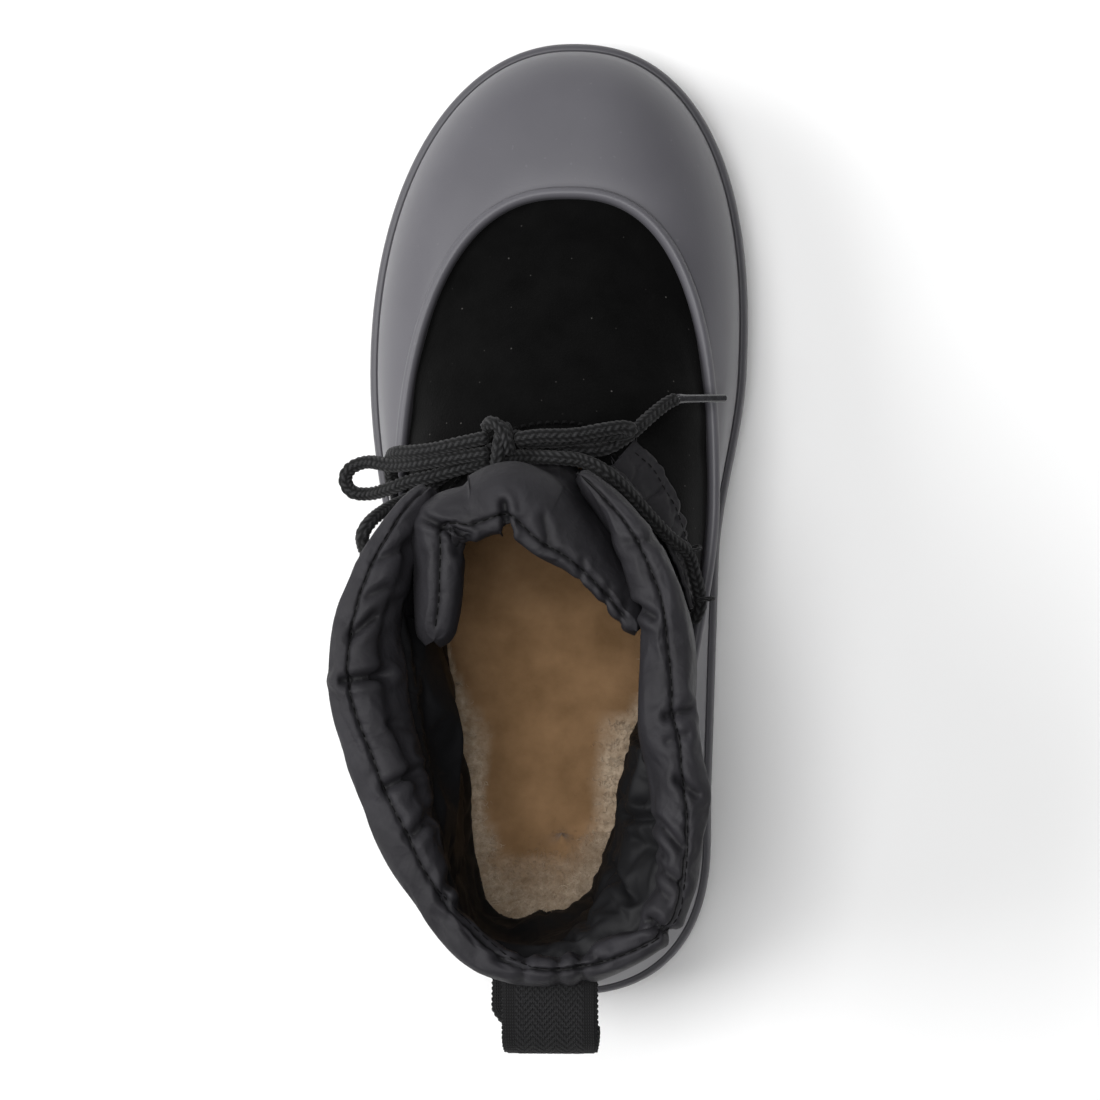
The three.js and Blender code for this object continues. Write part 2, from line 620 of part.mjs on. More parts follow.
// The lace lies round the front of the shaft from the inner loops to the outer ones, tied over the tongue.
const IN_LOOP = 3.8; // how far the cord's middle stands off the facing where a loop holds it
const FRONT_RUN = [
  [41.4, 2.2, 101], [37, 6, 105], [31.4, 9.6, 110], [25, 12.8, 113.6], [18, 16.6, 116], [11, 19.6, 117],
  [3, 20.5, 117], [-4, 20.9, 113.8], [-8.5, 20.9, 110.4], [-14, 20.5, 108], [-20, 20.4, 105.8],
  [-26, 18.4, 103.4], [-32, 14.8, 100.4], [-38, 10.6, 99.2], [-43.5, 7.4, 102.6], [-48.6, 4.6, 110.4],
  [-53, 1, 118.4], [-55.6, -3.4, 120.6], [-55, -7.6, 113], [-52, -10.6, 104.4], [-49.6, -14, 100.2],
];
const BOW_OUTER = [
  [-19.2, 21.6, 116], [-26, 20.7, 113.4], [-35, 19.4, 108.4], [-41, 18.7, 103.6], [-47, 18.6, 97],
  [-54.5, 19.8, 89.6], [-60, 18, 86.4], [-61.8, 14.4, 85.6], [-59.6, 10.8, 86.2], [-54, 10.2, 88.8],
  [-47, 11.8, 96.5], [-41, 13.8, 102], [-35, 14.9, 106], [-26, 17.3, 109.4], [-19.4, 19.2, 111],
];
const BOW_INNER = [
  [-9, 25.9, 118.8], [-2, 26.9, 119.2], [8, 27.2, 118], [17, 28.8, 115.4], [22.8, 29.6, 113],
  [25.2, 28.8, 110.6], [22.4, 27.8, 108.2], [14, 26.8, 110.6], [5, 25.8, 112.8], [-2.5, 25.4, 113.6],
  [-8.8, 25.4, 113.6],
];
const END_OUTER = [
  [-19.2, 26.7, 118], [-25.5, 25.5, 115.6], [-33.5, 24.2, 110.6], [-40, 23.8, 105.6], [-45.2, 23.8, 98.8],
  [-47.6, 22.2, 89.8], [-48.2, 17.4, 82], [-47.8, 12.2, 80.2],
];
const END_INNER = [
  [-10.4, 27.6, 108.2], [-5, 25.6, 106], [2, 23.6, 106.6], [10, 22.6, 107], [18, 23.6, 105.4], [25, 28, 101],
  [31, 33.6, 94.6], [35.6, 37.4, 89.2], [38.6, 38.8, 86.4],
];
const TIP = { length: 17.5, diameter: 4.4 };

// A cord's end tip goes on in the direction in which the cord arrives.
function tipRoute(route) {
  const [before, end] = route.slice(-2).map((p) => vec(...p));
  const dir = end.clone().sub(before).normalize();
  const start = end.clone().addScaledVector(dir, GAP * 1.5);
  return [start.toArray(), start.clone().addScaledVector(dir, TIP.length).toArray()];
}

function buildLace() {
  const held = LOOPS.map((loop) => onLoop(loop, IN_LOOP, 0).toArray());
  const beyond = (loop, turn) => onLoop({ ...loop, angle: loop.angle + turn }, IN_LOOP, 0).toArray();
  const [inner1, inner2, outer1, outer2] = held;
  const route = [beyond(LOOPS[1], 8), inner2, inner1, ...FRONT_RUN, outer1, outer2, beyond(LOOPS[3], -9)];
  add("lace_crossings", tube(route, 42), "cord");
  add("lace_bow_outer", tube(BOW_OUTER, 20), "cord");
  add("lace_bow_inner", tube(BOW_INNER, 18), "cord");
  add("lace_end_outer", tube(END_OUTER, 12), "cord");
  add("lace_end_inner", tube(END_INNER, 12), "cord");
  add("lace_tip_outer", tube(tipRoute(END_OUTER), 1, 8, TIP.diameter), "tip");
  add("lace_tip_inner", tube(tipRoute(END_INNER), 1, 8, TIP.diameter), "tip");
}

// The knot: a round lump of cord, pulled tight.
const KNOT = { x: -14, y: 24.8, z: 115, wide: 8.8, long: 10, high: 11.4 };
function buildKnot() {
  const knot = new THREE.SphereGeometry(0.5, 14, 10);
  knot.scale(KNOT.wide, KNOT.long, KNOT.high);
  knot.translate(KNOT.x, KNOT.y, KNOT.z);
  add("lace_knot", toGeometry(toSolid(knot)), "cord");
}

// The pull loop: a folded strap of webbing sewn to the back of the shaft, cut to the shaft's own face.
const PULL = { x: 2.3, width: 28.3, thick: 2, topZ: 137, lowZ: 112, endY: -154.2, rootY: -120 };
const PULL_ANGLES = { from: 140, to: 215 }; // the shaft's face that it is cut to
function buildPullLoop() {
  const path = new THREE.CatmullRomCurve3([
    vec(0, PULL.rootY, PULL.topZ + 1),
    vec(0, PULL.endY + 14, PULL.topZ),
    vec(0, PULL.endY + 5, PULL.topZ - 2.6),
    vec(0, PULL.endY + 1, PULL.topZ - 8.5),
    vec(0, PULL.endY + 4, PULL.topZ - 15.5),
    vec(0, PULL.endY + 12, PULL.lowZ + 2.6),
    vec(0, PULL.rootY, PULL.lowZ - 3),
  ]);
  const section = new THREE.Shape();
  const [halfWide, halfThick] = [PULL.width / 2, PULL.thick / 2];
  section.moveTo(-halfWide, -halfThick);
  section.lineTo(halfWide, -halfThick);
  section.lineTo(halfWide, halfThick);
  section.lineTo(-halfWide, halfThick);
  const strap = new THREE.ExtrudeGeometry(section, { steps: 20, extrudePath: path });
  strap.translate(PULL.x, 0, 0);
  const outlines = [];
  for (const angle of STATIONS.filter((a) => a > PULL_ANGLES.from && a < PULL_ANGLES.to)) {
    const core = fromAnkle(angle, 30, 90);
    const face = shaftOutline(angle).slice(0, 6).map((p) => {
      const away = vec(p.x - ANKLE.x, p.y - ANKLE.y, 0).normalize();
      return p.clone().addScaledVector(away, GAP);
    });
    const below = face[0].clone().setZ(80);
    const above = fromAnkle(angle, 30, 160);
    outlines.push([core, below, ...face, face[5].clone().setZ(160), above]);
  }
  const solid = toSolid(strap).subtract(toSolid(sweep(outlines)));
  add("pull_loop", toGeometry(solid), "webbing");
}

buildShell();
buildUpper();
buildOutsole();
buildInsole();
buildShaft();
buildTongue();
buildFacings();
buildLoops();
buildLace();
buildKnot();
buildPullLoop();

export default boot;
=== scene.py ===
import math

import bmesh
import bpy
import numpy as np
from mathutils import Matrix, Vector


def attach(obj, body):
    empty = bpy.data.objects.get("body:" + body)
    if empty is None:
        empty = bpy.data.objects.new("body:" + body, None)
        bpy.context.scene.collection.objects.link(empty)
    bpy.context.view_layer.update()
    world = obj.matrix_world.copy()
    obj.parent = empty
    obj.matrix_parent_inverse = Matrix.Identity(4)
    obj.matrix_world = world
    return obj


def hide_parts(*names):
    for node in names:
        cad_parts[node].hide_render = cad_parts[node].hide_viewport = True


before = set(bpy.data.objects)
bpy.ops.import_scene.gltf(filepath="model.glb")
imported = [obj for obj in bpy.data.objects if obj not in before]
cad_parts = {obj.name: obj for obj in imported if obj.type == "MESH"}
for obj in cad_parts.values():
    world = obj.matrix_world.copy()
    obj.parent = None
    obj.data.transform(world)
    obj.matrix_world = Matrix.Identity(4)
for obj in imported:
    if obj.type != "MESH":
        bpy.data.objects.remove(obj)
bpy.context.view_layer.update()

MM = 0.001
RANDOM = np.random.default_rng(11)

# ---------------------------------------------------------------- camera
PHOTO_PX = 1100
CAMERA_AT = (0.0603, -0.00625, 1.5)
LOOK_AT = (-0.0022, -0.0068, 0.03)
FOCAL_PX = 4687
SENSOR = 36

camera_data = bpy.data.cameras.new("camera")
camera_data.sensor_width = SENSOR
camera_data.lens = FOCAL_PX / PHOTO_PX * SENSOR
camera = bpy.data.objects.new("camera", camera_data)
bpy.context.scene.collection.objects.link(camera)
camera.location = CAMERA_AT
away = (Vector(CAMERA_AT) - Vector(LOOK_AT)).normalized()
right = Vector((0, 1, 0)).cross(away).normalized()
camera.rotation_euler = Matrix((right, away.cross(right), away)).transposed().to_euler()
bpy.context.scene.camera = camera


# ---------------------------------------------------------------- helpers
def linear(hex_colour):
    """An sRGB hex colour as the linear RGBA that shaders take."""
    parts = [int(hex_colour[i : i + 2], 16) / 255 for i in (1, 3, 5)]
    return [c / 12.92 if c <= 0.04045 else ((c + 0.055) / 1.055) ** 2.4 for c in parts] + [1.0]


def node(tree, kind, inputs=(), stops=(), **settings):
    """Adds a shader node: its settings, its inputs as values or links, and a colour ramp's stops."""
    made = tree.nodes.new("ShaderNode" + kind)
    for key, value in settings.items():
        setattr(made, key, value)
    for key, value in dict(inputs).items():
        if isinstance(value, bpy.types.Node):
            value = next(socket for socket in value.outputs if socket.enabled)
        if isinstance(value, bpy.types.NodeSocket):
            tree.links.new(value, made.inputs[key])
        else:
            made.inputs[key].default_value = linear(value) if isinstance(value, str) else value
    for k, (place, colour) in enumerate(stops):
        element = made.color_ramp.elements[k] if k < 2 else made.color_ramp.elements.new(place)
        element.position = place
        element.color = linear(colour) if isinstance(colour, str) else (colour, colour, colour, 1)
    return made


def blank_finish(name):
    """A new material and its empty node tree."""
    material = bpy.data.materials.new(name)
    material.use_nodes = True
    material.node_tree.nodes.clear()
    return material, material.node_tree


def per(millimetres):
    """The scale of a pattern on Object coordinates whose grains measure so many millimetres."""
    return 1000 / millimetres


def threads(millimetres):
    """The scale of a wave on the surface map, whose unit is 10 mm, for threads so many millimetres apart."""
    return math.pi / millimetres


def smooth(t):
    t = np.clip(t, 0, 1)
    return t * t * (3 - 2 * t)


def mix(a, b, t):
    return a + (b - a) * t


def bell(distance, width):
    return np.exp(-((distance / width) ** 2))


def spline(points, samples, closed=False):
    """Catmull-Rom through points (along the first axis), at an even share of samples a stretch."""
    p = np.asarray(points, float)
    n = len(p)
    spans = n if closed else n - 1
    t = np.linspace(0, spans, samples, endpoint=not closed)
    k = np.minimum(t.astype(int), spans - 1)
    f = (t - k).reshape((-1,) + (1,) * (p.ndim - 1))
    at = (lambda i: p[i % n]) if closed else (lambda i: p[np.clip(i, 0, n - 1)])
    a, b, c, d = at(k - 1), at(k), at(k + 1), at(k + 2)
    if not closed:
        first = (k == 0).reshape(f.shape)
        last = (k == n - 2).reshape(f.shape)
        a = np.where(first, 2 * b - c, a)
        d = np.where(last, 2 * c - b, d)
    return 0.5 * (2 * b + (c - a) * f + (2 * a - 5 * b + 4 * c - d) * f**2 + (3 * b - a - 3 * c + d) * f**3)


def hashed(i, j, k, seed):
    """A repeatable value from -1 to 1 at each whole-number place."""
    n = (i * 73856093) ^ (j * 19349663) ^ (k * 83492791) ^ (seed * 2654435)
    n = (n ^ (n >> 13)) * 1274126177 & 0x7FFFFFFF
    n = n ^ (n >> 16)
    return (n & 0xFFFF) / 32767.5 - 1


def noise(p, size, seed=0):
    """Smooth value noise from -1 to 1 over points in millimetres."""
    q = np.asarray(p, float) / size
    base = np.floor(q).astype(np.int64)
    f = q - base
    f = f * f * f * (f * (f * 6 - 15) + 10)
    total = 0
    for dx in (0, 1):
        for dy in (0, 1):
            for dz in (0, 1):
                weight = (
                    (f[..., 0] if dx else 1 - f[..., 0])
                    * (f[..., 1] if dy else 1 - f[..., 1])
                    * (f[..., 2] if dz else 1 - f[..., 2])
                )
                corner = hashed(base[..., 0] + dx, base[..., 1] + dy, base[..., 2] + dz, seed)
                total = total + weight * corner
    return total


def surface_normals(points, closed_columns=False, away_from=None):
    """Unit normals of a grid of points, rows by columns, turned away from a place where one is given."""
    if closed_columns:
        across = np.roll(points, -1, 1) - np.roll(points, 1, 1)
    else:
        across = np.gradient(points, axis=1)
    out = np.cross(across, np.gradient(points, axis=0))
    out /= np.maximum(np.linalg.norm(out, axis=-1, keepdims=True), 1e-9)
    if away_from is not None and ((points - away_from) * out).sum() < 0:
        out = -out
    return out


def lengths(points, axis):
    """Running length along an axis of a grid of points, in millimetres."""
    steps = np.linalg.norm(np.diff(points, axis=axis), axis=-1)
    pad = [(0, 0)] * steps.ndim
    pad[axis] = (1, 0)
    return np.pad(np.cumsum(steps, axis=axis), pad)


def only(piece):
    """Selects one object alone and makes it active."""
    bpy.ops.object.select_all(action="DESELECT")
    piece.select_set(True)
    bpy.context.view_layer.objects.active = piece


def skin(name, points, uv=None, values=(), outwards=False):
    """A grid primitive laid over points (rows, columns, xyz) in mm, its seams welded, with a map in centimetres."""
    points = np.asarray(points, float)
    rows, columns = points.shape[:2]
    bpy.ops.object.select_all(action="DESELECT")
    bpy.ops.mesh.primitive_grid_add(x_subdivisions=columns - 1, y_subdivisions=rows - 1, size=1)
    made = bpy.context.object
    made.name = made.data.name = name
    mesh = made.data
    flat = np.empty(len(mesh.vertices) * 3)
    mesh.vertices.foreach_get("co", flat)
    flat = flat.reshape(-1, 3)
    column = np.rint((flat[:, 0] + 0.5) * (columns - 1)).astype(int)
    row = np.rint((flat[:, 1] + 0.5) * (rows - 1)).astype(int)
    mesh.vertices.foreach_set("co", (points[row, column] * MM).ravel())
    if uv is None:
        uv = np.stack([lengths(points, 1), lengths(points, 0)], -1) / 10
    corner = np.empty(len(mesh.loops), int)
    mesh.loops.foreach_get("vertex_index", corner)
    mesh.uv_layers[0].name = "surface"
    mesh.uv_layers[0].data.foreach_set("uv", uv[row, column][corner].ravel())
    for key, value in dict(values).items():
        layer = mesh.attributes.new(key, "FLOAT", "POINT")
        layer.data.foreach_set("value", np.broadcast_to(value, (rows, columns))[row, column].astype(float))
    mesh.update()
    bpy.ops.object.mode_set(mode="EDIT")
    bpy.ops.mesh.select_all(action="SELECT")
    bpy.ops.mesh.remove_doubles(threshold=0.00001)
    if outwards:
        bpy.ops.mesh.select_all(action="SELECT")
        bpy.ops.mesh.normals_make_consistent(inside=False)
    bpy.ops.mesh.select_all(action="DESELECT")
    bpy.ops.object.mode_set(mode="OBJECT")
    bpy.ops.object.shade_smooth()
    return made


def read_points(piece):
    """A piece's vertices, in millimetres."""
    flat = np.empty(len(piece.data.vertices) * 3)
    piece.data.vertices.foreach_get("co", flat)
    return flat.reshape(-1, 3) / MM


def read_values(piece, name):
    values = np.empty(len(piece.data.vertices))
    piece.data.attributes[name].data.foreach_get("value", values)
    return values


def read_normals(piece):
    flat = np.empty(len(piece.data.vertices) * 3)
    piece.data.vertices.foreach_get("normal", flat)
    return flat.reshape(-1, 3)


def place_points(piece, points):
    piece.data.vertices.foreach_set("co", (points * MM).ravel())
    piece.data.update()


def apply_modifiers(piece):
    only(piece)
    for modifier in list(piece.modifiers):
        bpy.ops.object.modifier_apply(modifier=modifier.name)


def subdivided(piece, levels=1):
    modifier = piece.modifiers.new("smooth", "SUBSURF")
    modifier.levels = modifier.render_levels = levels
    apply_modifiers(piece)


def finish_piece(piece, material, replaces=(), body="root"):
    """Gives a piece its material and its body, and hides the solids that it stands for."""
    piece.data.materials.clear()
    piece.data.materials.append(material)
    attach(piece, body)
    if replaces:
        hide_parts(*replaces)
    return piece


def joined(name, parts):
    """Joins meshes into one object."""
    only(parts[0])
    for part in parts:
        part.select_set(True)
    if len(parts) > 1:
        bpy.ops.object.join()
    parts[0].name = parts[0].data.name = name
    return parts[0]


# ---------------------------------------------------------------- the last's sections, as in the solids
TOE_Y, HEEL_Y = 152.6, -147.5
BALL = {"outX": -59.7, "outY": 48, "inX": 60.1, "inY": 62}
HEEL = {"outX": -45, "inX": 48.4, "y": -96}
TOE_APEX_X = 4.3
WAIST_Y, WAIST_END = -20, -70
INNER_WAIST = {"end": -85, "start": 0.08, "run": 0.41, "share": 0.6}
HEEL_SQUARE_IN = 0.3
TOE_SPRING, SPRING_START_Y = 11, 74
ANKLE = np.array([-5.0, -56.0])
UPPER_WALL = 2.4
FINE = {"toe": 40, "side": 28, "heel": 30}


def table(columns, rows):
    names = columns.split()
    return [dict(zip(names, row)) for row in rows]


def section(row, steps=FINE):
    """One section of the foot, from the toe round by the outer side."""
    toe_y, heel_y = TOE_Y - row["toe"], HEEL_Y + row["heel"]
    ball = {
        "outX": BALL["outX"] + row["ballOut"],
        "inX": BALL["inX"] - row["ballIn"],
        "outY": row.get("outY", BALL["outY"]),
        "inY": row.get("inY", BALL["inY"]),
    }
    heel = {"outX": HEEL["outX"] + row["heelOut"], "inX": HEEL["inX"] - row["heelIn"]}
    heel_x = (heel["outX"] + heel["inX"]) / 2

    def quarter(side, count, is_toe):
        turn = np.linspace(0, math.pi / 2, count, endpoint=False)
        if is_toe:
            e = 2 / (row["nOut"] if side == "out" else row["nIn"])
            x = mix(TOE_APEX_X, ball[side + "X"], np.sin(turn) ** e)
            y = mix(ball[side + "Y"], toe_y, np.cos(turn) ** e)
        else:
            e = 2 / (row["nHeel"] + (0 if side == "out" else HEEL_SQUARE_IN))
            x = mix(heel_x, heel[side + "X"], np.sin(turn) ** e)
            y = mix(HEEL["y"], heel_y, np.cos(turn) ** e)
        return np.stack([x, y], -1)

    def side(name):
        y = mix(ball[name + "Y"], HEEL["y"], np.arange(steps["side"]) / steps["side"])
        even = smooth((ball[name + "Y"] - y) / (ball[name + "Y"] - WAIST_END))
        if name == "in":
            t = np.clip((BALL["inY"] - y) / (BALL["inY"] - INNER_WAIST["end"]), 0, 1)
            early = mix(t, smooth((t - INNER_WAIST["start"]) / INNER_WAIST["run"]), INNER_WAIST["share"])
            even = mix(even, early, row.get("waist", 0))
        return np.stack([mix(ball[name + "X"], heel[name + "X"], even), y], -1)

    toe_out, toe_in = quarter("out", steps["toe"], True), quarter("in", steps["toe"], True)
    heel_out, heel_in = quarter("out", steps["heel"], False), quarter("in", steps["heel"], False)
    side_out, side_in = side("out"), side("in")
    plan = np.concatenate(
        [
            toe_out,
            side_out,
            [[heel["outX"], HEEL["y"]]],
            heel_out[:0:-1],
            heel_out[:1],
            heel_in[1:],
            [[heel["inX"], HEEL["y"]]],
            side_in[:0:-1],
            side_in[:1],
            toe_in[:0:-1],
        ]
    )
    y = plan[:, 1]
    forward = y > WAIST_Y
    far = np.where(forward, (y - WAIST_Y) / (toe_y - WAIST_Y), (WAIST_Y - y) / (WAIST_Y - heel_y))
    z = mix(row["zSide"], np.where(forward, row["zToe"], row["zHeel"]), np.clip(far, 0, 1) ** 2)
    return np.concatenate([plan, z[:, None]], 1)


UPPER_ROWS = table(
    "zToe zSide zHeel toe heel ballOut ballIn heelOut heelIn nOut nIn nHeel outY inY",
    [
        [33, 31, 37, 15, 16, 9.5, 9.5, 11, 11.5, 2.1, 2.35, 2.2, 48, 62],
        [44, 42, 49, 12, 11.5, 8, 7.5, 9, 9.5, 2.1, 2.35, 2.2, 48, 62],
        [53, 51, 59, 19, 12.5, 9.5, 8.5, 9.5, 10, 2.15, 2.4, 2.2, 40, 54],
        [61, 58, 67, 34, 14, 12, 10.5, 10, 10.5, 2.25, 2.5, 2.2, 22, 34],
        [66.5, 62, 72, 52.5, 15, 14.9, 13, 10.5, 11, 2.4, 2.6, 2.2, 0, 10],
        [74, 71, 80, 74, 15.5, 16.2, 14.3, 11, 11.5, 2.35, 2.5, 2.2, -6, 0],
        [83, 80, 88, 94.5, 16, 17.5, 15.8, 11.3, 12, 2.3, 2.35, 2.2, -12, -10],
        [92, 88, 95, 112, 16.2, 18.5, 17.2, 11.5, 12.4, 2.2, 2.15, 2.2, -18, -20],
        [100, 94, 100, 124.5, 16.3, 19, 18, 11.6, 12.7, 2.1, 1.98, 2.2, -24, -29],
        [105, 98, 104, 131, 16.3, 19, 18.2, 11.6, 12.8, 2.05, 1.85, 2.2, -27, -35],
    ],
)
LIP_ROW, RIM_ROWS = 4, 6
UPPER = [section(row) for row in UPPER_ROWS]
SEAM = UPPER[-1]

SHELL_ROWS = table(
    "zToe zSide zHeel toe heel ballOut ballIn heelOut heelIn nOut nIn outY inY waist nHeel",
    [
        [20, 9, 9, 4.5, 3, 3, 3, 3, 3, 2.1, 2.35, 48, 62, 1, 2.15],
        [23, 12, 12, 0.8, 0.6, 0.6, 0.6, 0.6, 0.6, 2.1, 2.35, 48, 62, 1, 2.15],
        [25.3, 17.5, 18, 0, 0, 0, 0, 0, 0, 2.1, 2.35, 48, 62, 1, 2.15],
        [28.1, 23, 25, 0.3, 0.3, 0.3, 0.3, 0.3, 0.3, 2.1, 2.35, 48, 62, 1, 2.15],
        [29.1, 24, 26, 1.6, 1.6, 1.6, 1.6, 1.6, 1.6, 2.1, 2.35, 48, 62, 1, 2.15],
        [29.3, 24.2, 26.3, 2.5, 2.5, 2.5, 2.5, 2.4, 2.4, 2.1, 2.35, 48, 62, 1, 2.15],
        [28.5, 23.4, 25.5, 2.8, 2.8, 2.8, 2.75, 2.6, 2.6, 2.1, 2.35, 48, 62, 1, 2.15],
        [29.3, 24.4, 26.5, 3.0, 3.0, 3.0, 2.9, 2.7, 2.7, 2.1, 2.35, 48, 62, 1, 2.15],
        [38, 34, 38, 3.6, 3.6, 3.6, 3, 2.6, 2.6, 2.1, 2.35, 48, 62, 0.85, 2.15],
        [47, 44, 50, 7.6, 6, 5.2, 4.2, 3.4, 3.4, 2.12, 2.38, 45, 58, 0.6, 2.15],
        [55, 52, 59, 15.5, 8.4, 7.4, 5.8, 4.6, 4.6, 2.2, 2.42, 36, 48, 0.35, 2.15],
        [61.5, 57.5, 66, 28, 10.6, 9.8, 7.8, 6, 6, 2.26, 2.48, 20, 30, 0.15, 2.15],
        [65.4, 61, 70.5, 42, 12, 11.7, 9.7, 7.3, 7.4, 2.34, 2.55, 8, 18, 0, 2.15],
    ],
)
# The lip's round bead: distance out from the suede and height over its line, from its outer foot to its inner one.
LIP_ROLL = [
    (3.95, -0.55),
    (3.8, -0.3),
    (4.25, 0.4),
    (4.3, 1.4),
    (3.85, 2.5),
    (3.0, 3.15),
    (2.05, 3.15),
    (1.2, 2.5),
    (0.65, 1.5),
    (0.4, -2.0),
]

COLLAR = np.array(
    [
        [12, 76.5, 6.5, 137, -4.5],
        [21, 72, 10, 141, -4.5],
        [34, 66, 14, 146, -3],
        [50, 59.3, 16, 149, 0],
        [66, 53.5, 17, 150, 3],
        [82, 50.5, 17, 151, 4.5],
        [98, 52.3, 18, 152, 4.5],
        [114, 59, 18, 152, 4.5],
        [130, 66, 16, 152, 4.5],
        [144, 76.3, 13, 153, 4],
        [160, 77.6, 10, 153, 3],
        [176, 76.6, 9, 153, 3],
        [192, 73.8, 12, 153, 3],
        [204, 66.3, 16, 152, 4],
        [216, 59.8, 18, 152, 4.5],
        [232, 55, 18, 152, 4.5],
        [248, 52, 17, 151, 4.5],
        [264, 53.8, 16.5, 151, 4.5],
        [284, 58.2, 16.5, 151, 4.5],
        [304, 63.8, 15, 149, 4],
        [320, 69, 13.5, 147, 2],
        [332, 74.3, 9.5, 143, -1],
        [338, 76, 6.5, 139, -1.5],
    ],
    float,
)
# Where the stitched channel runs along the collar's top: angle and reach from the ankle's axis.
STITCH_LINE = np.array(
    [
        [12, 73.2], [20, 68.2], [26, 65], [33, 61], [41, 56.6], [50, 52.6], [60, 48], [78, 44], [87, 43.2],
        [96, 45.5], [110, 49], [119, 54.2], [127, 59.6], [135, 66], [141, 71.6], [147, 73.6], [156, 73.4],
        [165, 72.6], [174, 71.8], [181, 69.5], [188, 65], [196, 59.8], [204, 55.8], [216, 50.4], [225, 46.6],
        [235, 45.2], [245, 44.6], [259, 45], [274, 49], [284, 52.5], [296, 55.6], [306, 59.2], [317, 63.8],
        [325, 67.5], [332, 71.4], [338, 74],
    ],
    float,
)

# ---------------------------------------------------------------- lace routes, as in the solids
CORD = 4.4
FRONT_RUN = [
    [41.4, 2.2, 101], [37, 6, 105], [31.4, 9.6, 110], [25, 12.8, 113.6], [18, 16.6, 116], [11, 19.6, 117],
    [3, 20.5, 117], [-4, 20.9, 113.8], [-8.5, 20.9, 110.4], [-14, 20.5, 108], [-20, 20.4, 105.8],
    [-26, 18.4, 103.4], [-32, 14.8, 100.4], [-38, 10.6, 99.2], [-43, 7.8, 102.6], [-47.6, 5.2, 110.4],
    [-51.4, 1.8, 118], [-53.8, -2.4, 119.6], [-53.6, -6.8, 113], [-51.4, -10.2, 104.6], [-49.6, -14, 100.2],
]
BOW_OUTER = [
    [-16.6, 22, 116.6], [-26, 20.7, 113.4], [-35, 19.4, 108.4], [-41, 18.7, 103.6], [-47, 18.6, 97],
    [-54.5, 19.8, 89.6], [-60, 18, 86.4], [-61.8, 14.4, 85.6], [-59.6, 10.8, 86.2], [-54, 10.2, 88.8],
    [-47, 11.8, 96.5], [-41, 13.8, 102], [-35, 14.9, 106], [-26, 17.3, 109.4], [-16.6, 19.6, 112],
]
BOW_INNER = [
    [-9, 25.9, 118.8], [-2, 26.9, 119.2], [8, 27.2, 118], [17, 28.8, 115.4], [22.8, 29.6, 113],
    [25.2, 28.8, 110.6], [22.4, 27.8, 108.2], [14, 26.8, 110.6], [5, 25.8, 112.8], [-2.5, 25.4, 113.6],
    [-8.8, 25.4, 113.6],
]
END_OUTER = [
    [-16.6, 26.6, 118.6], [-25.5, 24.8, 115.6], [-33.5, 23.2, 110.6], [-40, 22.6, 105.6], [-45.2, 22.4, 98.8],
    [-47.6, 21, 89.8], [-48.2, 16.8, 82], [-47.8, 12.2, 80.2],
]
END_INNER = [
    [-10.4, 27.6, 108.2], [-5, 25.6, 106], [2, 23.6, 106.6], [10, 22.6, 107], [18, 23.6, 105.4], [25, 28, 101],
    [31, 33.6, 94.6], [35.6, 37.4, 89.2], [38.6, 38.8, 86.4],
]
# A tip is shrunk to less than the cord's thickness. The inner one points straight out over the lip.
TIP = {"length": 17.5, "diameter": 2.9}
TIP_INNER_WAY = [14.7, 0.5, -9.4]


# ---------------------------------------------------------------- materials
def moulded_foam():
    """Ethylene-vinyl acetate foam, compression moulded: a smooth satin skin, faintly cloudy, with a little dust."""
    material, tree = blank_finish("moulded_eva_foam")
    place = node(tree, "TexCoord").outputs["Object"]
    cloud = node(tree, "TexNoise", {"Vector": place, "Scale": per(45), "Detail": 4})
    # The mould's own grain is finer than a pixel, so this one is drawn 0.6 mm wide.
    pebble = node(tree, "TexNoise", {"Vector": place, "Scale": per(0.6), "Detail": 2})
    speck = node(tree, "TexNoise", {"Vector": place, "Scale": per(2.2), "Detail": 1})
    clouded = node(tree, "ValToRGB", {"Fac": cloud}, [(0.3, "#515055"), (0.7, "#59585d")])
    dust = node(tree, "ValToRGB", {"Fac": speck}, [(0.75, 0.0), (0.8, 0.25)])
    # Painted shade: the rim attribute darkens the rim band, its groove and the bead's foot towards a near-black grey.
    rim = node(tree, "Attribute", attribute_name="rim").outputs["Fac"]
    dusty = node(tree, "Mix", {0: dust, 6: clouded, 7: "#737277"}, data_type="RGBA")
    tone = node(tree, "Mix", {0: rim, 6: dusty, 7: "#29282b"}, data_type="RGBA")
    sheen = node(tree, "ValToRGB", {"Fac": cloud}, [(0.3, 0.42), (0.7, 0.5)])
    grain = node(tree, "Bump", {"Height": pebble, "Distance": 0.0001, "Strength": 0.25})
    surface = node(
        tree,
        "BsdfPrincipled",
        {"Base Color": tone, "Roughness": sheen, "IOR": 1.47, "Specular IOR Level": 0.4, "Normal": grain},
    )
    node(tree, "OutputMaterial", {"Surface": surface})
    return material


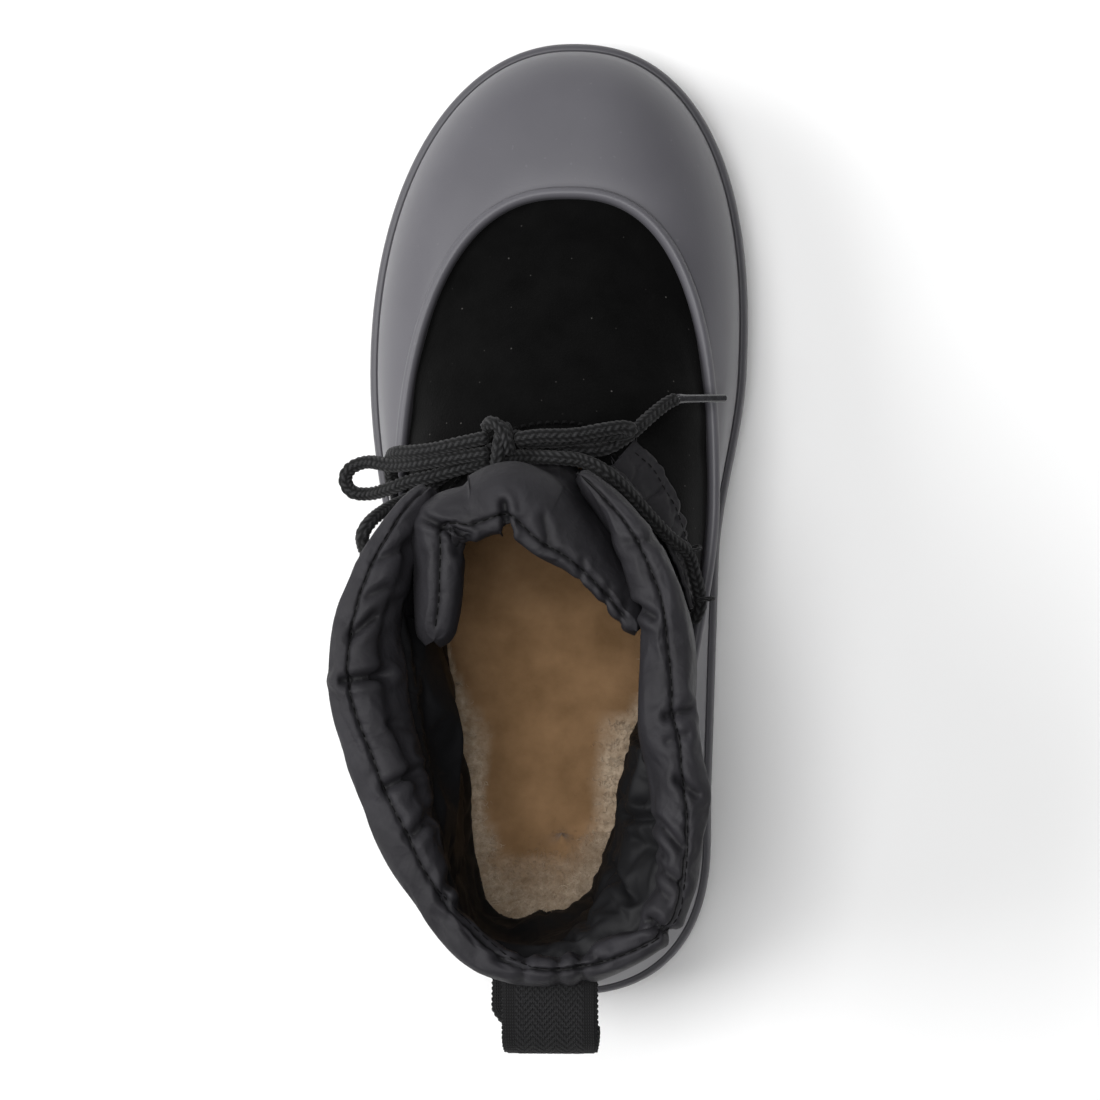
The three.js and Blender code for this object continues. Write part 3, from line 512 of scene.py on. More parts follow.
def black_suede():
    """Split cowhide, buffed: matt black nap that lies in patches, with a few pale specks of dust in it."""
    material, tree = blank_finish("buffed_black_suede")
    place = node(tree, "TexCoord").outputs["Object"]
    lay = node(tree, "TexNoise", {"Vector": place, "Scale": per(16), "Detail": 5, "Roughness": 0.62})
    nap = node(tree, "TexNoise", {"Vector": place, "Scale": per(0.8), "Detail": 3})
    # Specks of dust: a dot in the middle of a few of the cells.
    cells = node(tree, "TexVoronoi", {"Vector": place, "Scale": per(3.2)})
    base = node(tree, "ValToRGB", {"Fac": lay}, [(0.3, "#040404"), (0.72, "#0b0b0b")])
    dot = node(tree, "ValToRGB", {"Fac": cells.outputs["Distance"]}, [(0.05, 1.0), (0.1, 0.0)])
    few = node(tree, "ValToRGB", {"Fac": cells.outputs["Color"]}, [(0.58, 0.0), (0.8, 0.8)])
    dust = node(tree, "Math", {0: dot, 1: few}, operation="MULTIPLY")
    tone = node(tree, "Mix", {0: dust, 6: base, 7: "#5a5856"}, data_type="RGBA")
    brushed = node(tree, "Bump", {"Height": lay, "Distance": 0.0006, "Strength": 0.25})
    napped = node(tree, "Bump", {"Height": nap, "Distance": 0.0003, "Strength": 0.6, "Normal": brushed})
    surface = node(
        tree,
        "BsdfPrincipled",
        {
            "Base Color": tone,
            "Roughness": 0.95,
            "Specular IOR Level": 0.05,
            "Sheen Weight": 0.025,
            "Sheen Roughness": 0.5,
            "Normal": napped,
        },
    )
    node(tree, "OutputMaterial", {"Surface": surface})
    return material


def nylon_taffeta(name, dark, light, dull, crease):
    """Polyamide taffeta over wadding: a tight plain weave, soft and satin, with fine sharp creases."""
    material, tree = blank_finish(name)
    place = node(tree, "TexCoord").outputs["Object"]
    woven = node(tree, "UVMap", uv_map="surface").outputs["UV"]
    # Threads stand 0.4 mm apart here, because the real 0.15 mm is too fine to show.
    warp = node(tree, "TexWave", {"Vector": woven, "Scale": threads(0.4), "Distortion": 0.3}, bands_direction="X")
    weft = node(tree, "TexWave", {"Vector": woven, "Scale": threads(0.4), "Distortion": 0.3}, bands_direction="Y")
    weave = node(tree, "Math", {0: warp.outputs["Fac"], 1: weft.outputs["Fac"]}, operation="MULTIPLY")
    fold = node(
        tree, "TexNoise", {"Vector": place, "Scale": per(7), "Detail": 4, "Roughness": 0.6, "Distortion": 0.6}
    )
    sharp = node(
        tree,
        "TexNoise",
        {"Vector": place, "Scale": per(13), "Detail": 3, "Offset": 1.0, "Gain": 1.6, "Distortion": 0.5},
        noise_type="RIDGED_MULTIFRACTAL",
    )
    shade = node(tree, "TexNoise", {"Vector": place, "Scale": per(22), "Detail": 3})
    clean = node(tree, "ValToRGB", {"Fac": shade}, [(0.3, dark), (0.72, light)])
    # Painted shade: the needle's line and the tucks are darkened towards near black, standing in for the shadow where
    # the cloth is drawn in.
    crease_shade = node(tree, "Attribute", attribute_name="crease_shade").outputs["Fac"]
    tone = node(tree, "Mix", {0: crease_shade, 6: clean, 7: "#070708"}, data_type="RGBA")
    sheen = node(tree, "ValToRGB", {"Fac": fold}, [(0.3, dull - 0.04), (0.7, dull + 0.06)])
    folded = node(tree, "Bump", {"Height": fold, "Distance": crease * MM, "Strength": 0.5})
    creased = node(tree, "Bump", {"Height": sharp, "Distance": crease * MM, "Strength": 0.35, "Normal": folded})
    grain = node(tree, "Bump", {"Height": weave, "Distance": 0.00008, "Strength": 0.2, "Normal": creased})
    surface = node(
        tree,
        "BsdfPrincipled",
        {"Base Color": tone, "Roughness": sheen, "IOR": 1.53, "Specular IOR Level": 0.22, "Normal": grain},
    )
    node(tree, "OutputMaterial", {"Surface": surface})
    return material


def sheared_fleece():
    """Sheepskin sheared short: warm tan where the foot has pressed it flat, pale and loose towards its edges."""
    material, tree = blank_finish("sheared_fleece")
    place = node(tree, "TexCoord").outputs["Object"]
    loose = node(tree, "Attribute", attribute_name="loose").outputs["Fac"]
    curl = node(tree, "TexNoise", {"Vector": place, "Scale": per(2.4), "Detail": 5, "Roughness": 0.7})
    cloud = node(tree, "TexNoise", {"Vector": place, "Scale": per(20), "Detail": 4, "Roughness": 0.6})
    pressed = node(tree, "ValToRGB", {"Fac": cloud}, [(0.3, "#6f5437"), (0.7, "#8f7050")])
    fluffy = node(tree, "ValToRGB", {"Fac": curl}, [(0.3, "#937f68"), (0.7, "#d0bda6")])
    tone = node(tree, "Mix", {0: loose, 6: pressed, 7: fluffy}, data_type="RGBA")
    piled = node(tree, "Bump", {"Height": curl, "Distance": 0.001, "Strength": 0.6})
    surface = node(
        tree,
        "BsdfPrincipled",
        {
            "Base Color": tone,
            "Roughness": 0.95,
            "Specular IOR Level": 0.1,
            "Sheen Weight": 0.2,
            "Sheen Roughness": 0.6,
            "Normal": piled,
        },
    )
    node(tree, "OutputMaterial", {"Surface": surface})
    return material


def plaited_polyester():
    """Polyester cord, plaited round: dull black strands with a little fuzz, with painted shade in the hollows between
    the strands, so their crowns read greyer.
    """
    material, tree = blank_finish("plaited_polyester")
    place = node(tree, "TexCoord").outputs["Object"]
    crown = node(tree, "Attribute", attribute_name="crown").outputs["Fac"]
    fuzz = node(tree, "TexNoise", {"Vector": place, "Scale": per(0.45), "Detail": 3})
    # Painted shade: the colour runs from near black between the strands to grey on their crowns.
    tone = node(tree, "ValToRGB", {"Fac": crown}, [(0.1, "#020202"), (1.0, "#353536"), (0.55, "#161617")])
    rough = node(tree, "Bump", {"Height": fuzz, "Distance": 0.00025, "Strength": 0.5})
    surface = node(
        tree,
        "BsdfPrincipled",
        {
            "Base Color": tone,
            "Roughness": 0.82,
            "Specular IOR Level": 0.18,
            "Sheen Weight": 0.05,
            "Sheen Roughness": 0.5,
            "Normal": rough,
        },
    )
    node(tree, "OutputMaterial", {"Surface": surface})
    return material


def woven_webbing():
    """Polyester webbing, woven in ribs: dull black, with a raised herringbone a little greyer on top."""
    material, tree = blank_finish("woven_webbing")
    woven = node(tree, "UVMap", uv_map="surface").outputs["UV"]
    relief = node(tree, "Attribute", attribute_name="relief").outputs["Fac"]
    rib = node(
        tree,
        "TexWave",
        {"Vector": woven, "Scale": threads(0.9), "Distortion": 0.5, "Detail": 1},
        bands_direction="Y",
    )
    cross = node(tree, "TexWave", {"Vector": woven, "Scale": threads(0.7), "Distortion": 0.8}, bands_direction="X")
    weave = node(tree, "Math", {0: rib.outputs["Fac"], 1: cross.outputs["Fac"]}, operation="MULTIPLY")
    plain = node(tree, "ValToRGB", {"Fac": weave}, [(0.1, "#0a0a0b"), (0.8, "#1b1b1c")])
    tone = node(tree, "Mix", {0: relief, 6: plain, 7: "#1d1d1e"}, data_type="RGBA")
    ribbed = node(tree, "Bump", {"Height": weave, "Distance": 0.0004, "Strength": 0.6})
    raised = node(tree, "Bump", {"Height": relief, "Distance": 0.0002, "Strength": 0.4, "Normal": ribbed})
    surface = node(
        tree,
        "BsdfPrincipled",
        {"Base Color": tone, "Roughness": 0.78, "Specular IOR Level": 0.25, "Normal": raised},
    )
    node(tree, "OutputMaterial", {"Surface": surface})
    return material


def sewing_thread():
    """Spun polyester thread, twisted: almost black and dull."""
    material, tree = blank_finish("twisted_thread")
    place = node(tree, "TexCoord").outputs["Object"]
    twist = node(tree, "TexNoise", {"Vector": place, "Scale": per(0.7), "Detail": 2})
    tone = node(tree, "ValToRGB", {"Fac": twist}, [(0.3, "#020202"), (0.8, "#0a0a0b")])
    turned = node(tree, "Bump", {"Height": twist, "Distance": 0.0001, "Strength": 0.5})
    surface = node(
        tree, "BsdfPrincipled", {"Base Color": tone, "Roughness": 0.8, "Specular IOR Level": 0.15, "Normal": turned}
    )
    node(tree, "OutputMaterial", {"Surface": surface})
    return material


def shrunk_acetate():
    """Cellulose acetate film, shrunk round the cord's end: glossy smoke grey, with streaks along it."""
    material, tree = blank_finish("shrunk_acetate")
    place = node(tree, "TexCoord").outputs["Object"]
    streak = node(tree, "TexNoise", {"Vector": place, "Scale": per(3), "Detail": 2})
    tone = node(tree, "ValToRGB", {"Fac": streak}, [(0.3, "#1b1b1d"), (0.75, "#303033")])
    lapped = node(tree, "Bump", {"Height": streak, "Distance": 0.0002, "Strength": 0.3})
    surface = node(
        tree,
        "BsdfPrincipled",
        {
            "Base Color": tone,
            "Roughness": 0.22,
            "IOR": 1.47,
            "Coat Weight": 0.5,
            "Coat Roughness": 0.1,
            "Normal": lapped,
        },
    )
    node(tree, "OutputMaterial", {"Surface": surface})
    return material


def moulded_rubber():
    """Carbon-filled rubber, moulded: dark grey and dull, with a fine grit."""
    material, tree = blank_finish("moulded_rubber")
    place = node(tree, "TexCoord").outputs["Object"]
    grit = node(tree, "TexNoise", {"Vector": place, "Scale": per(1.1), "Detail": 3})
    cloud = node(tree, "TexNoise", {"Vector": place, "Scale": per(28), "Detail": 3})
    tone = node(tree, "ValToRGB", {"Fac": cloud}, [(0.3, "#1f1e20"), (0.75, "#2b2a2d")])
    rough = node(tree, "Bump", {"Height": grit, "Distance": 0.0003, "Strength": 0.5})
    surface = node(tree, "BsdfPrincipled", {"Base Color": tone, "Roughness": 0.7, "IOR": 1.52, "Normal": rough})
    node(tree, "OutputMaterial", {"Surface": surface})
    return material


def white_paper():
    """Uncoated paper, the studio's floor: matt white."""
    material, tree = blank_finish("white_paper")
    place = node(tree, "TexCoord").outputs["Object"]
    cloud = node(tree, "TexNoise", {"Vector": place, "Scale": per(300)})
    tone = node(tree, "ValToRGB", {"Fac": cloud}, [(0.3, "#f8f8f8"), (0.7, "#fafafa")])
    surface = node(tree, "BsdfPrincipled", {"Base Color": tone, "Roughness": 0.9, "Specular IOR Level": 0.2})
    node(tree, "OutputMaterial", {"Surface": surface})
    return material


FOAM = moulded_foam()
SUEDE = black_suede()
NYLON = nylon_taffeta("padded_taffeta", "#212023", "#29282c", 0.64, 0.5)
# Painted shade: the lining is the collar's own taffeta, given far darker colours for the shade inside the shaft.
LINING = nylon_taffeta("lining_taffeta", "#0f0f11", "#161618", 0.66, 0.08)
FACING_NYLON = nylon_taffeta("facing_taffeta", "#1b1a1d", "#252427", 0.66, 0.6)
FLEECE = sheared_fleece()
PLAIT_YARN = plaited_polyester()
WEBBING = woven_webbing()
THREAD = sewing_thread()
TIP_FILM = shrunk_acetate()
RUBBER = moulded_rubber()


# ---------------------------------------------------------------- cords
def cord_line(points, step=0.5):
    """Evenly spaced points along a smooth line through the given ones, in millimetres."""
    fine = spline(points, len(points) * 24)
    along = np.concatenate([[0], np.cumsum(np.linalg.norm(np.diff(fine, axis=0), axis=1))])
    count = max(8, int(along[-1] / step))
    at = np.linspace(0, along[-1], count + 1)
    return np.stack([np.interp(at, along, fine[:, k]) for k in range(3)], 1), along[-1]


def tube_frames(line):
    """Two unit directions square to the line at each of its points, without twist."""
    tangents = np.gradient(line, axis=0)
    tangents /= np.linalg.norm(tangents, axis=1, keepdims=True)
    side = np.cross(tangents[0], [0, 0, 1.0])
    if np.linalg.norm(side) < 0.1:
        side = np.cross(tangents[0], [0, 1.0, 0])
    sides = []
    for tangent in tangents:
        side = side - tangent * side.dot(tangent)
        side /= np.linalg.norm(side)
        sides.append(side)
    sides = np.array(sides)
    return sides, np.cross(tangents, sides)


# The lace is plaited in four columns of slanting strands, 2.8 mm from one to the next.
PLAIT = {"columns": 6, "pitch": 2.1, "slant": 0.5, "relief": 0.6, "around": 24}


def plaited_cord(name, points, diameter=CORD, closed_ends=True):
    """A plaited cord along points, with its strands in relief; returns the piece, its line and its length."""
    line, length = cord_line(points)
    sides, ups = tube_frames(line)
    around = PLAIT["around"]
    turn = np.linspace(0, 1, around + 1)
    along = np.linspace(0, length, len(line))[:, None]
    column = turn * PLAIT["columns"]
    index = np.floor(column + 1e-6)
    across = column - index - 0.5
    way = np.where(index % 2 == 0, 1, -1)
    phase = along / PLAIT["pitch"] + way * across * PLAIT["slant"] * 2 + 0.5 * (index % 2)
    # No strand is drawn quite as tight as the next.
    phase = phase + 0.16 * noise(line[:, None] + 3 * np.stack([across, across, across], -1), 2.6, 71)
    strand = np.abs(np.sin(math.pi * phase)) ** 0.8
    edge = 1 - np.abs(across * 2) ** 3
    crown = strand * (0.35 + 0.65 * edge)
    end = np.minimum(np.arange(len(line)), np.arange(len(line))[::-1])[:, None] * 0.5
    close = np.sqrt(np.clip(1 - (1 - np.clip(end / 1.5, 0, 1)) ** 2, 0, 1)) if closed_ends else 1
    radius = (diameter / 2 - PLAIT["relief"] * (1 - crown)) * close
    a = turn * 2 * math.pi
    points3 = line[:, None] + radius[..., None] * (
        np.cos(a)[None, :, None] * sides[:, None] + np.sin(a)[None, :, None] * ups[:, None]
    )
    uv = np.stack([np.broadcast_to(turn, radius.shape), np.broadcast_to(along / 10, radius.shape)], -1)
    # The crown values also carry the painted shade between the strands into the cord's material.
    return skin(name, points3, uv, {"crown": crown}), line, length


def ring_at(angle, reach, z):
    a = np.radians(angle)
    return np.stack([ANKLE[0] + reach * np.sin(a), ANKLE[1] + reach * np.cos(a), z * np.ones_like(a)], -1)


def on_ray(ring, angle):
    """Reach and height where the ray at an angle from the ankle's axis meets a section."""
    d = np.array([math.sin(math.radians(angle)), math.cos(math.radians(angle))])
    p = ring[:, :2] - ANKLE
    c = d[0] * p[:, 1] - d[1] * p[:, 0]
    nxt = np.roll(c, -1)
    for i in np.nonzero((c > 0) != (nxt > 0))[0]:
        t = c[i] / (c[i] - nxt[i])
        point = mix(ring[i], ring[(i + 1) % len(ring)], t)
        reach = (point[:2] - ANKLE).dot(d)
        if reach > 0:
            return reach, point[2]
    raise ValueError(f"no point on the ray at {angle}")


def column(rows, k, angle):
    """Smooth value of a table's column k at angles in its first column."""
    angle = np.asarray(angle, float)
    x, y = rows[:, 0], rows[:, k]
    slope = np.gradient(y, x)
    i = np.clip(np.searchsorted(x, angle, "right") - 1, 0, len(x) - 2)
    span = x[i + 1] - x[i]
    t = np.clip((angle - x[i]) / span, 0, 1)
    return (
        (2 * t**3 - 3 * t**2 + 1) * y[i]
        + (t**3 - 2 * t**2 + t) * slope[i] * span
        + (3 * t**2 - 2 * t**3) * y[i + 1]
        + (t**3 - t**2) * slope[i + 1] * span
    )


FACING = {"low": -8, "high": 8, "thick": 1.8, "skin": 0.85}
LOOPS = {"lace_loop_inner_1": 42, "lace_loop_inner_2": 54, "lace_loop_outer_1": 311, "lace_loop_outer_2": 298}
GAP = 0.3


def collar_values(angle):
    return [column(COLLAR, k, angle) for k in (1, 2, 3, 4)]


def face_at(angle, t):
    """Reach and height of the shaft's outer face, by the share of the way from the seam to the top."""
    seam_reach, seam_z = on_ray(SEAM, angle)
    reach, thick, top, bulge = collar_values(angle)
    base = seam_z + GAP
    swell = math.sin(math.pi * min(1, max(0, t * 1.12))) * (1 - t * 0.7)
    return mix(seam_reach, reach, smooth((t + t * t) / 2)) + bulge * swell, mix(base, top, t)


def off_face(angle, z, lift):
    """A place at a distance off the boot's outer face near the seam, square to that face."""

    def at(a):
        seam_reach, seam_z = on_ray(SEAM, a)
        if z >= seam_z:
            reach, height = face_at(a, 0.2)
            r = mix(seam_reach, reach, min(1, max(0, (z - seam_z - GAP) / (height - seam_z - GAP))))
        else:
            low_reach, low_z = on_ray(UPPER[-3], a)
            r = mix(low_reach, seam_reach, min(1, max(0, (z - low_z) / (seam_z - low_z))))
        return ring_at(np.array(a), r, z)

    along = at(angle + 1) - at(angle - 1)
    along /= np.linalg.norm(along)
    return at(angle) + lift * np.array([-along[1], along[0], 0])


def on_loop(angle, out, up):
    return off_face(angle, on_ray(SEAM, angle)[1] + up, FACING["skin"] + FACING["thick"] + out)


IN_LOOP = 3.8
held = {name: on_loop(angle, IN_LOOP, 0).tolist() for name, angle in LOOPS.items()}
# On the inner side the lace lies along the collar, on top of the facing: angle, height over the seam and lift off the
# boot's face, from its hidden end up to the front.
INNER_RUN = [
    (59.5, -3, 1.4),
    (57, -1, 3.6),
    (54, 0.4, 5.0),
    (48, 1.4, 5.2),
    (42, 3, 5.4),
    (37, 9, 3.4),
    (32, 13, 2.2),
    (27, 15, 1.7),
    (22, 16, 1.9),
    (17, 16, 2.2),
]
lacing = [
    *(off_face(a, on_ray(SEAM, a)[1] + up, lift).tolist() for a, up, lift in INNER_RUN),
    *FRONT_RUN[5:],
    held["lace_loop_outer_1"],
    held["lace_loop_outer_2"],
    on_loop(LOOPS["lace_loop_outer_2"] - 9, IN_LOOP, 0).tolist(),
]
crossings, _, crossings_length = plaited_cord("lace_crossings_plait", lacing)
finish_piece(crossings, PLAIT_YARN, ["lace_crossings"])


def lace_tip(name, end, way):
    """A tip on a cord's end: a smooth tube of film with a rounded end and a lap line."""
    end, way = np.array(end), np.array(way) / np.linalg.norm(way)
    # The profile is (share of the length, share of the radius).
    profile = [(-0.04, 0.8), (0, 1.12), (0.05, 1.1), (0.3, 0.9), (0.9, 0.86), (0.97, 0.76), (1, 0.5), (1, 0)]
    fine = spline(profile, 48)
    line = end + way * (fine[:, :1] * TIP["length"])
    side = np.cross(way, [0, 0, 1.0])
    side /= np.linalg.norm(side)
    up = np.cross(way, side)
    a = np.linspace(0, 2 * math.pi, 25)
    radius = np.clip(fine[:, 1], 0, 2)[:, None] * TIP["diameter"] / 2 * (1 + 0.05 * (np.abs(a - 2) < 0.5))
    points = line[:, None] + radius[..., None] * (
        np.cos(a)[None, :, None] * side + np.sin(a)[None, :, None] * up
    )
    return finish_piece(skin(name, points), TIP_FILM, [name.replace("_film", "")])


tips = {
    "outer": lace_tip("lace_tip_outer_film", END_OUTER[-1], np.subtract(END_OUTER[-1], END_OUTER[-2])),
    "inner": lace_tip("lace_tip_inner_film", END_INNER[-1], TIP_INNER_WAY),
}
CORD_LENGTHS = {}
for name, route, far_end, tip in (
    ("lace_bow_outer", BOW_OUTER, "knot", None),
    ("lace_bow_inner", BOW_INNER, "knot", None),
    ("lace_end_outer", END_OUTER, "fitting", "outer"),
    ("lace_end_inner", END_INNER, "fitting", "inner"),
):
    piece, line, length = plaited_cord(name + "_plait", route)
    finish_piece(piece, PLAIT_YARN, [name])
    CORD_LENGTHS[name] = round(float(length), 1)
print("cord lengths, mm:", CORD_LENGTHS, "crossings", round(crossings_length, 1))

# The knot: one turn of the lace pulled tight round the four strands, and a hump of cord on top of them.
KNOT = np.array([-14, 24.0, 114.2])


def knot_turn():
    points = []
    for share in np.linspace(0, 1, 13):
        a = math.radians(mix(-200, 160, share))
        points.append(KNOT + [mix(-2.6, 3.0, share), -1 + 6.2 * math.sin(a), 6.0 * math.cos(a)])
    return points


def knot_hump():
    steps = [(-3.6, 5.2, -1), (-2.6, 6.6, 2.6), (-0.6, 6.6, 5.2), (2, 4, 6.4), (3.2, 0.4, 6.2), (3.6, -2.6, 4.4)]
    return [KNOT + step for step in steps]


knot = joined(
    "lace_knot_plait",
    [plaited_cord("knot_turn", knot_turn())[0], plaited_cord("knot_hump", knot_hump(), CORD * 0.95)[0]],
)
finish_piece(knot, PLAIT_YARN, ["lace_knot"])

# ---------------------------------------------------------------- foam shell
def sole_top(y):
    """Height of the outsole's top, which springs at the toe."""
    return 8.6 + TOE_SPRING * np.clip((y - SPRING_START_Y) / (TOE_Y - SPRING_START_Y), 0, 1) ** 2


def moulded_shell():
    outside = [section(row) for row in SHELL_ROWS]
    # The foam's foot follows the outsole up to the toe.
    outside[0][:, 2] = sole_top(outside[0][:, 1]) + 0.3
    outside[1][:, 2] = sole_top(outside[1][:, 1]) + 3.3
    held_by = UPPER[LIP_ROW]
    out = surface_normals(np.array(UPPER), closed_columns=True)[LIP_ROW] * [1, 1, 0]
    out /= np.linalg.norm(out, axis=1, keepdims=True)
    if (out[0] * [0, 1, 0]).sum() < 0:
        out = -out
    lip = [held_by + out * reach + [0, 0, up] for reach, up in LIP_ROLL]
    low = outside[0]
    middle = low.mean(0) * [0, 1, 0]
    under = [middle + (low - middle) * [k, k, 1] for k in (0.0, 0.3, 0.6, 0.8, 0.97)]
    for ring in under:
        ring[:, 2] = sole_top(ring[:, 1]) + 0.3
    # A ring close outside the bead keeps the line at its foot crisp.
    shelf = mix(outside[-1], lip[0], 0.86)
    inside = [held_by + [0, 0, -14] + out * -4]
    rings = np.array([*under, *outside, shelf, *lip, *inside])
    rings = np.concatenate([rings, rings[:, :1]], 1)
    # Painted shade: the rim band, the same foam as the rest, is darkened, darkest in the groove at its inner side, and
    # the bead's foot is darkened too.
    dark = np.zeros(len(rings))
    first = len(under)
    dark[: first + RIM_ROWS] = 0.3
    dark[first + RIM_ROWS : first + RIM_ROWS + 2] = 0.42, 0.12
    dark[first + len(outside) + 1 : first + len(outside) + 3] = 0.2
    piece = skin("foam_shell", rings[:, ::-1], values={"rim": dark[:, None]})
    subdivided(piece)
    return finish_piece(piece, FOAM, ["shell"])


moulded_shell()


# ---------------------------------------------------------------- suede upper
def suede_upper():
    rows = spline(UPPER, 100)
    normals = surface_normals(rows, closed_columns=True, away_from=[0, 0, 60])
    # Soft hollows where the vamp bends, and the slack of the suede behind the lip.
    x, y, z = rows[..., 0], rows[..., 1], rows[..., 2]
    vamp = smooth((y - 5) / 25)
    troughs = 0.7 * noise(rows, 38, 3) + 0.25 * noise(rows, 14, 4)
    bend = sum(
        depth * np.exp(-(((y - place + 0.12 * x) / wide) ** 2))
        for place, depth, wide in ((30, -0.7, 5), (41, 0.3, 5), (54, -0.4, 6))
    )
    lift = vamp * bend + troughs * smooth((z - 62) / 12)
    rows = rows + normals * lift[..., None]
    inner = rows[::-1] - normals[::-1] * UPPER_WALL
    both = np.concatenate([rows, inner[::6], rows[:1]])
    both = np.concatenate([both, both[:, :1]], 1)
    return finish_piece(skin("suede_upper", both[:, ::-1]), SUEDE, ["upper"])


suede_upper()


# ---------------------------------------------------------------- sewn cloth
CLOTH_FRAMES = 22


def sewn_cloth(piece, slack, pressure, bending):
    """Sets a piece up as cloth: its held places stay put, and where it is slack the cloth is cut too large."""
    for name in ("held", "slack"):
        group = piece.vertex_groups.new(name=name)
        for index, weight in enumerate(read_values(piece, name)):
            group.add([index], float(min(1, max(0, weight))), "REPLACE")
    cloth = piece.modifiers.new("cloth", "CLOTH")
    own = cloth.settings
    own.quality = 7
    own.mass = 0.12
    own.air_damping = 2.5
    own.tension_stiffness = own.compression_stiffness = 18
    own.shear_stiffness = 6
    own.bending_stiffness = bending
    own.tension_damping = own.compression_damping = own.shear_damping = 5
    own.use_pressure = pressure > 0
    own.uniform_pressure_force = pressure
    own.vertex_group_mass = "held"
    own.vertex_group_shrink = "slack"
    own.shrink_min, own.shrink_max = -slack[0], -slack[1]
    own.effector_weights.gravity = 0
    cloth.collision_settings.use_collision = False
    cloth.point_cache.frame_start = 1
    cloth.point_cache.frame_end = CLOTH_FRAMES


def settle(caps):
    """Runs the cloth of all pieces at once, then moves each point by at most its piece's cap, in mm."""
    scene = bpy.context.scene
    for count in range(1, CLOTH_FRAMES + 1):
        scene.frame_set(count)
    graph = bpy.context.evaluated_depsgraph_get()
    for piece, cap in caps:
        before = read_points(piece)
        after = np.empty(before.size)
        piece.evaluated_get(graph).data.vertices.foreach_get("co", after)
        move = after.reshape(-1, 3) / MM - before
        far = np.linalg.norm(move, axis=1, keepdims=True)
        print(f"{piece.name}: cloth moved {far.mean():.2f} mm on average, {far.max():.2f} at most")
        place_points(piece, before + move * np.minimum(1, cap / np.maximum(far, 0.001)))
    for piece, _ in caps:
        piece.modifiers.remove(piece.modifiers["cloth"])
        piece.vertex_groups.clear()
    scene.frame_set(1)


# ---------------------------------------------------------------- padded collar
def fold_field(points, folds):
    """Depth of given tucks, in mm: each runs from one place to another and swells beside itself."""
    total = np.zeros(points.shape[:-1])
    for x0, y0, x1, y1, depth, width in folds:
        a, b = np.array([x0, y0]), np.array([x1, y1])
        t = np.clip(((points[..., :2] - a) @ (b - a)) / ((b - a) @ (b - a)), 0, 1)
        d = np.linalg.norm(points[..., :2] - (a + t[..., None] * (b - a)), axis=-1)
        total += depth * (bell(d, width) - 0.25 * bell(d - 2 * width, width))
    return total


# Each tuck: from x, y to x, y, its depth and its half width, in mm.
COLLAR_FOLDS = [
    (-57.5, -44.6, -45.5, -43.0, 3.4, 1.5),
    (-44.5, -75.2, -35.0, -70.6, 2.6, 1.5),
    (-47.5, -26.0, -54.6, -31.3, 2.0, 1.6),
    (-37.0, -5.6, -46.4, -9.2, 1.2, 2.0),
    (-36.5, -88.8, -29.3, -81.4, 2.4, 1.7),
    (-27.8, -106.6, -23.2, -97.6, 2.0, 1.6),
    (-27.7, -107.2, -13.8, -114.8, 2.0, 1.5),
    (-12.0, -124.2, -4.8, -124.6, 1.8, 1.7),
    (-5.2, -131.0, -3.9, -121.5, 1.1, 1.5),
    (4.9, -132.0, 5.5, -121.0, 1.2, 1.5),
    (12.6, -133.5, 10.7, -119.5, 1.4, 1.5),
    (10.7, -120.2, 17.5, -125.0, 1.4, 1.6),
    (41.0, -119.5, 31.0, -113.0, 3.2, 1.6),
    (32.3, -113.6, 17.9, -116.0, 2.8, 1.7),
    (45.6, -77.2, 39.5, -73.0, 2.0, 1.5),
    (43.6, -52.8, 36.4, -54.6, 2.2, 1.5),
    (41.5, -103.2, 34.0, -98.4, 1.6, 1.6),
    (27.4, -23.6, 32.6, -26.0, 2.4, 1.5),
    (24.8, -4.9, 32.8, -3.3, 1.2, 1.6),
    (33.4, -85.2, 41.0, -92.4, 1.8, 1.4),
    (30.1, -101.6, 37.0, -107.0, 1.2, 1.4),
    (32.0, -92.0, 36.0, -95.6, 1.3, 1.3),
    (36.6, -62.0, 42.6, -60.0, 1.0, 1.4),
    (-36.0, -58.5, -43.0, -57.0, 1.2, 1.4),
    (-49.8, -20.0, -44.0, -17.6, 1.0, 1.4),
]


def gathers(along, off, seed, spacing, deep, reach):
    """Short gathers that run off a stitched line, square to it, and fade with the distance off it."""
    rng = np.random.default_rng(seed)
    total = np.zeros(np.broadcast(along, off).shape)
    place, limit = 0.0, along.max()
    while place < limit:
        place += spacing * rng.uniform(0.45, 1.7)
        size = deep * rng.uniform(0.3, 1.2)
        far = reach * rng.uniform(0.5, 1.5)
        wide = rng.uniform(0.6, 1.3)
        lean = rng.uniform(-0.5, 0.5)
        side = rng.choice([-1, 1])
        fade = np.exp(-((np.abs(off) / far) ** 1.5)) * np.where(off * side > -1.0, 1, 0.25)
        total += size * fade * bell(along - place - lean * np.abs(off), wide)
    return total


def rounded_ends(distance, length):
    """From 0 at an end to 1 inside it, as a quarter circle."""
    return np.sqrt(np.clip(1 - (1 - np.clip(distance / length, 0, 1)) ** 2, 0, 1))


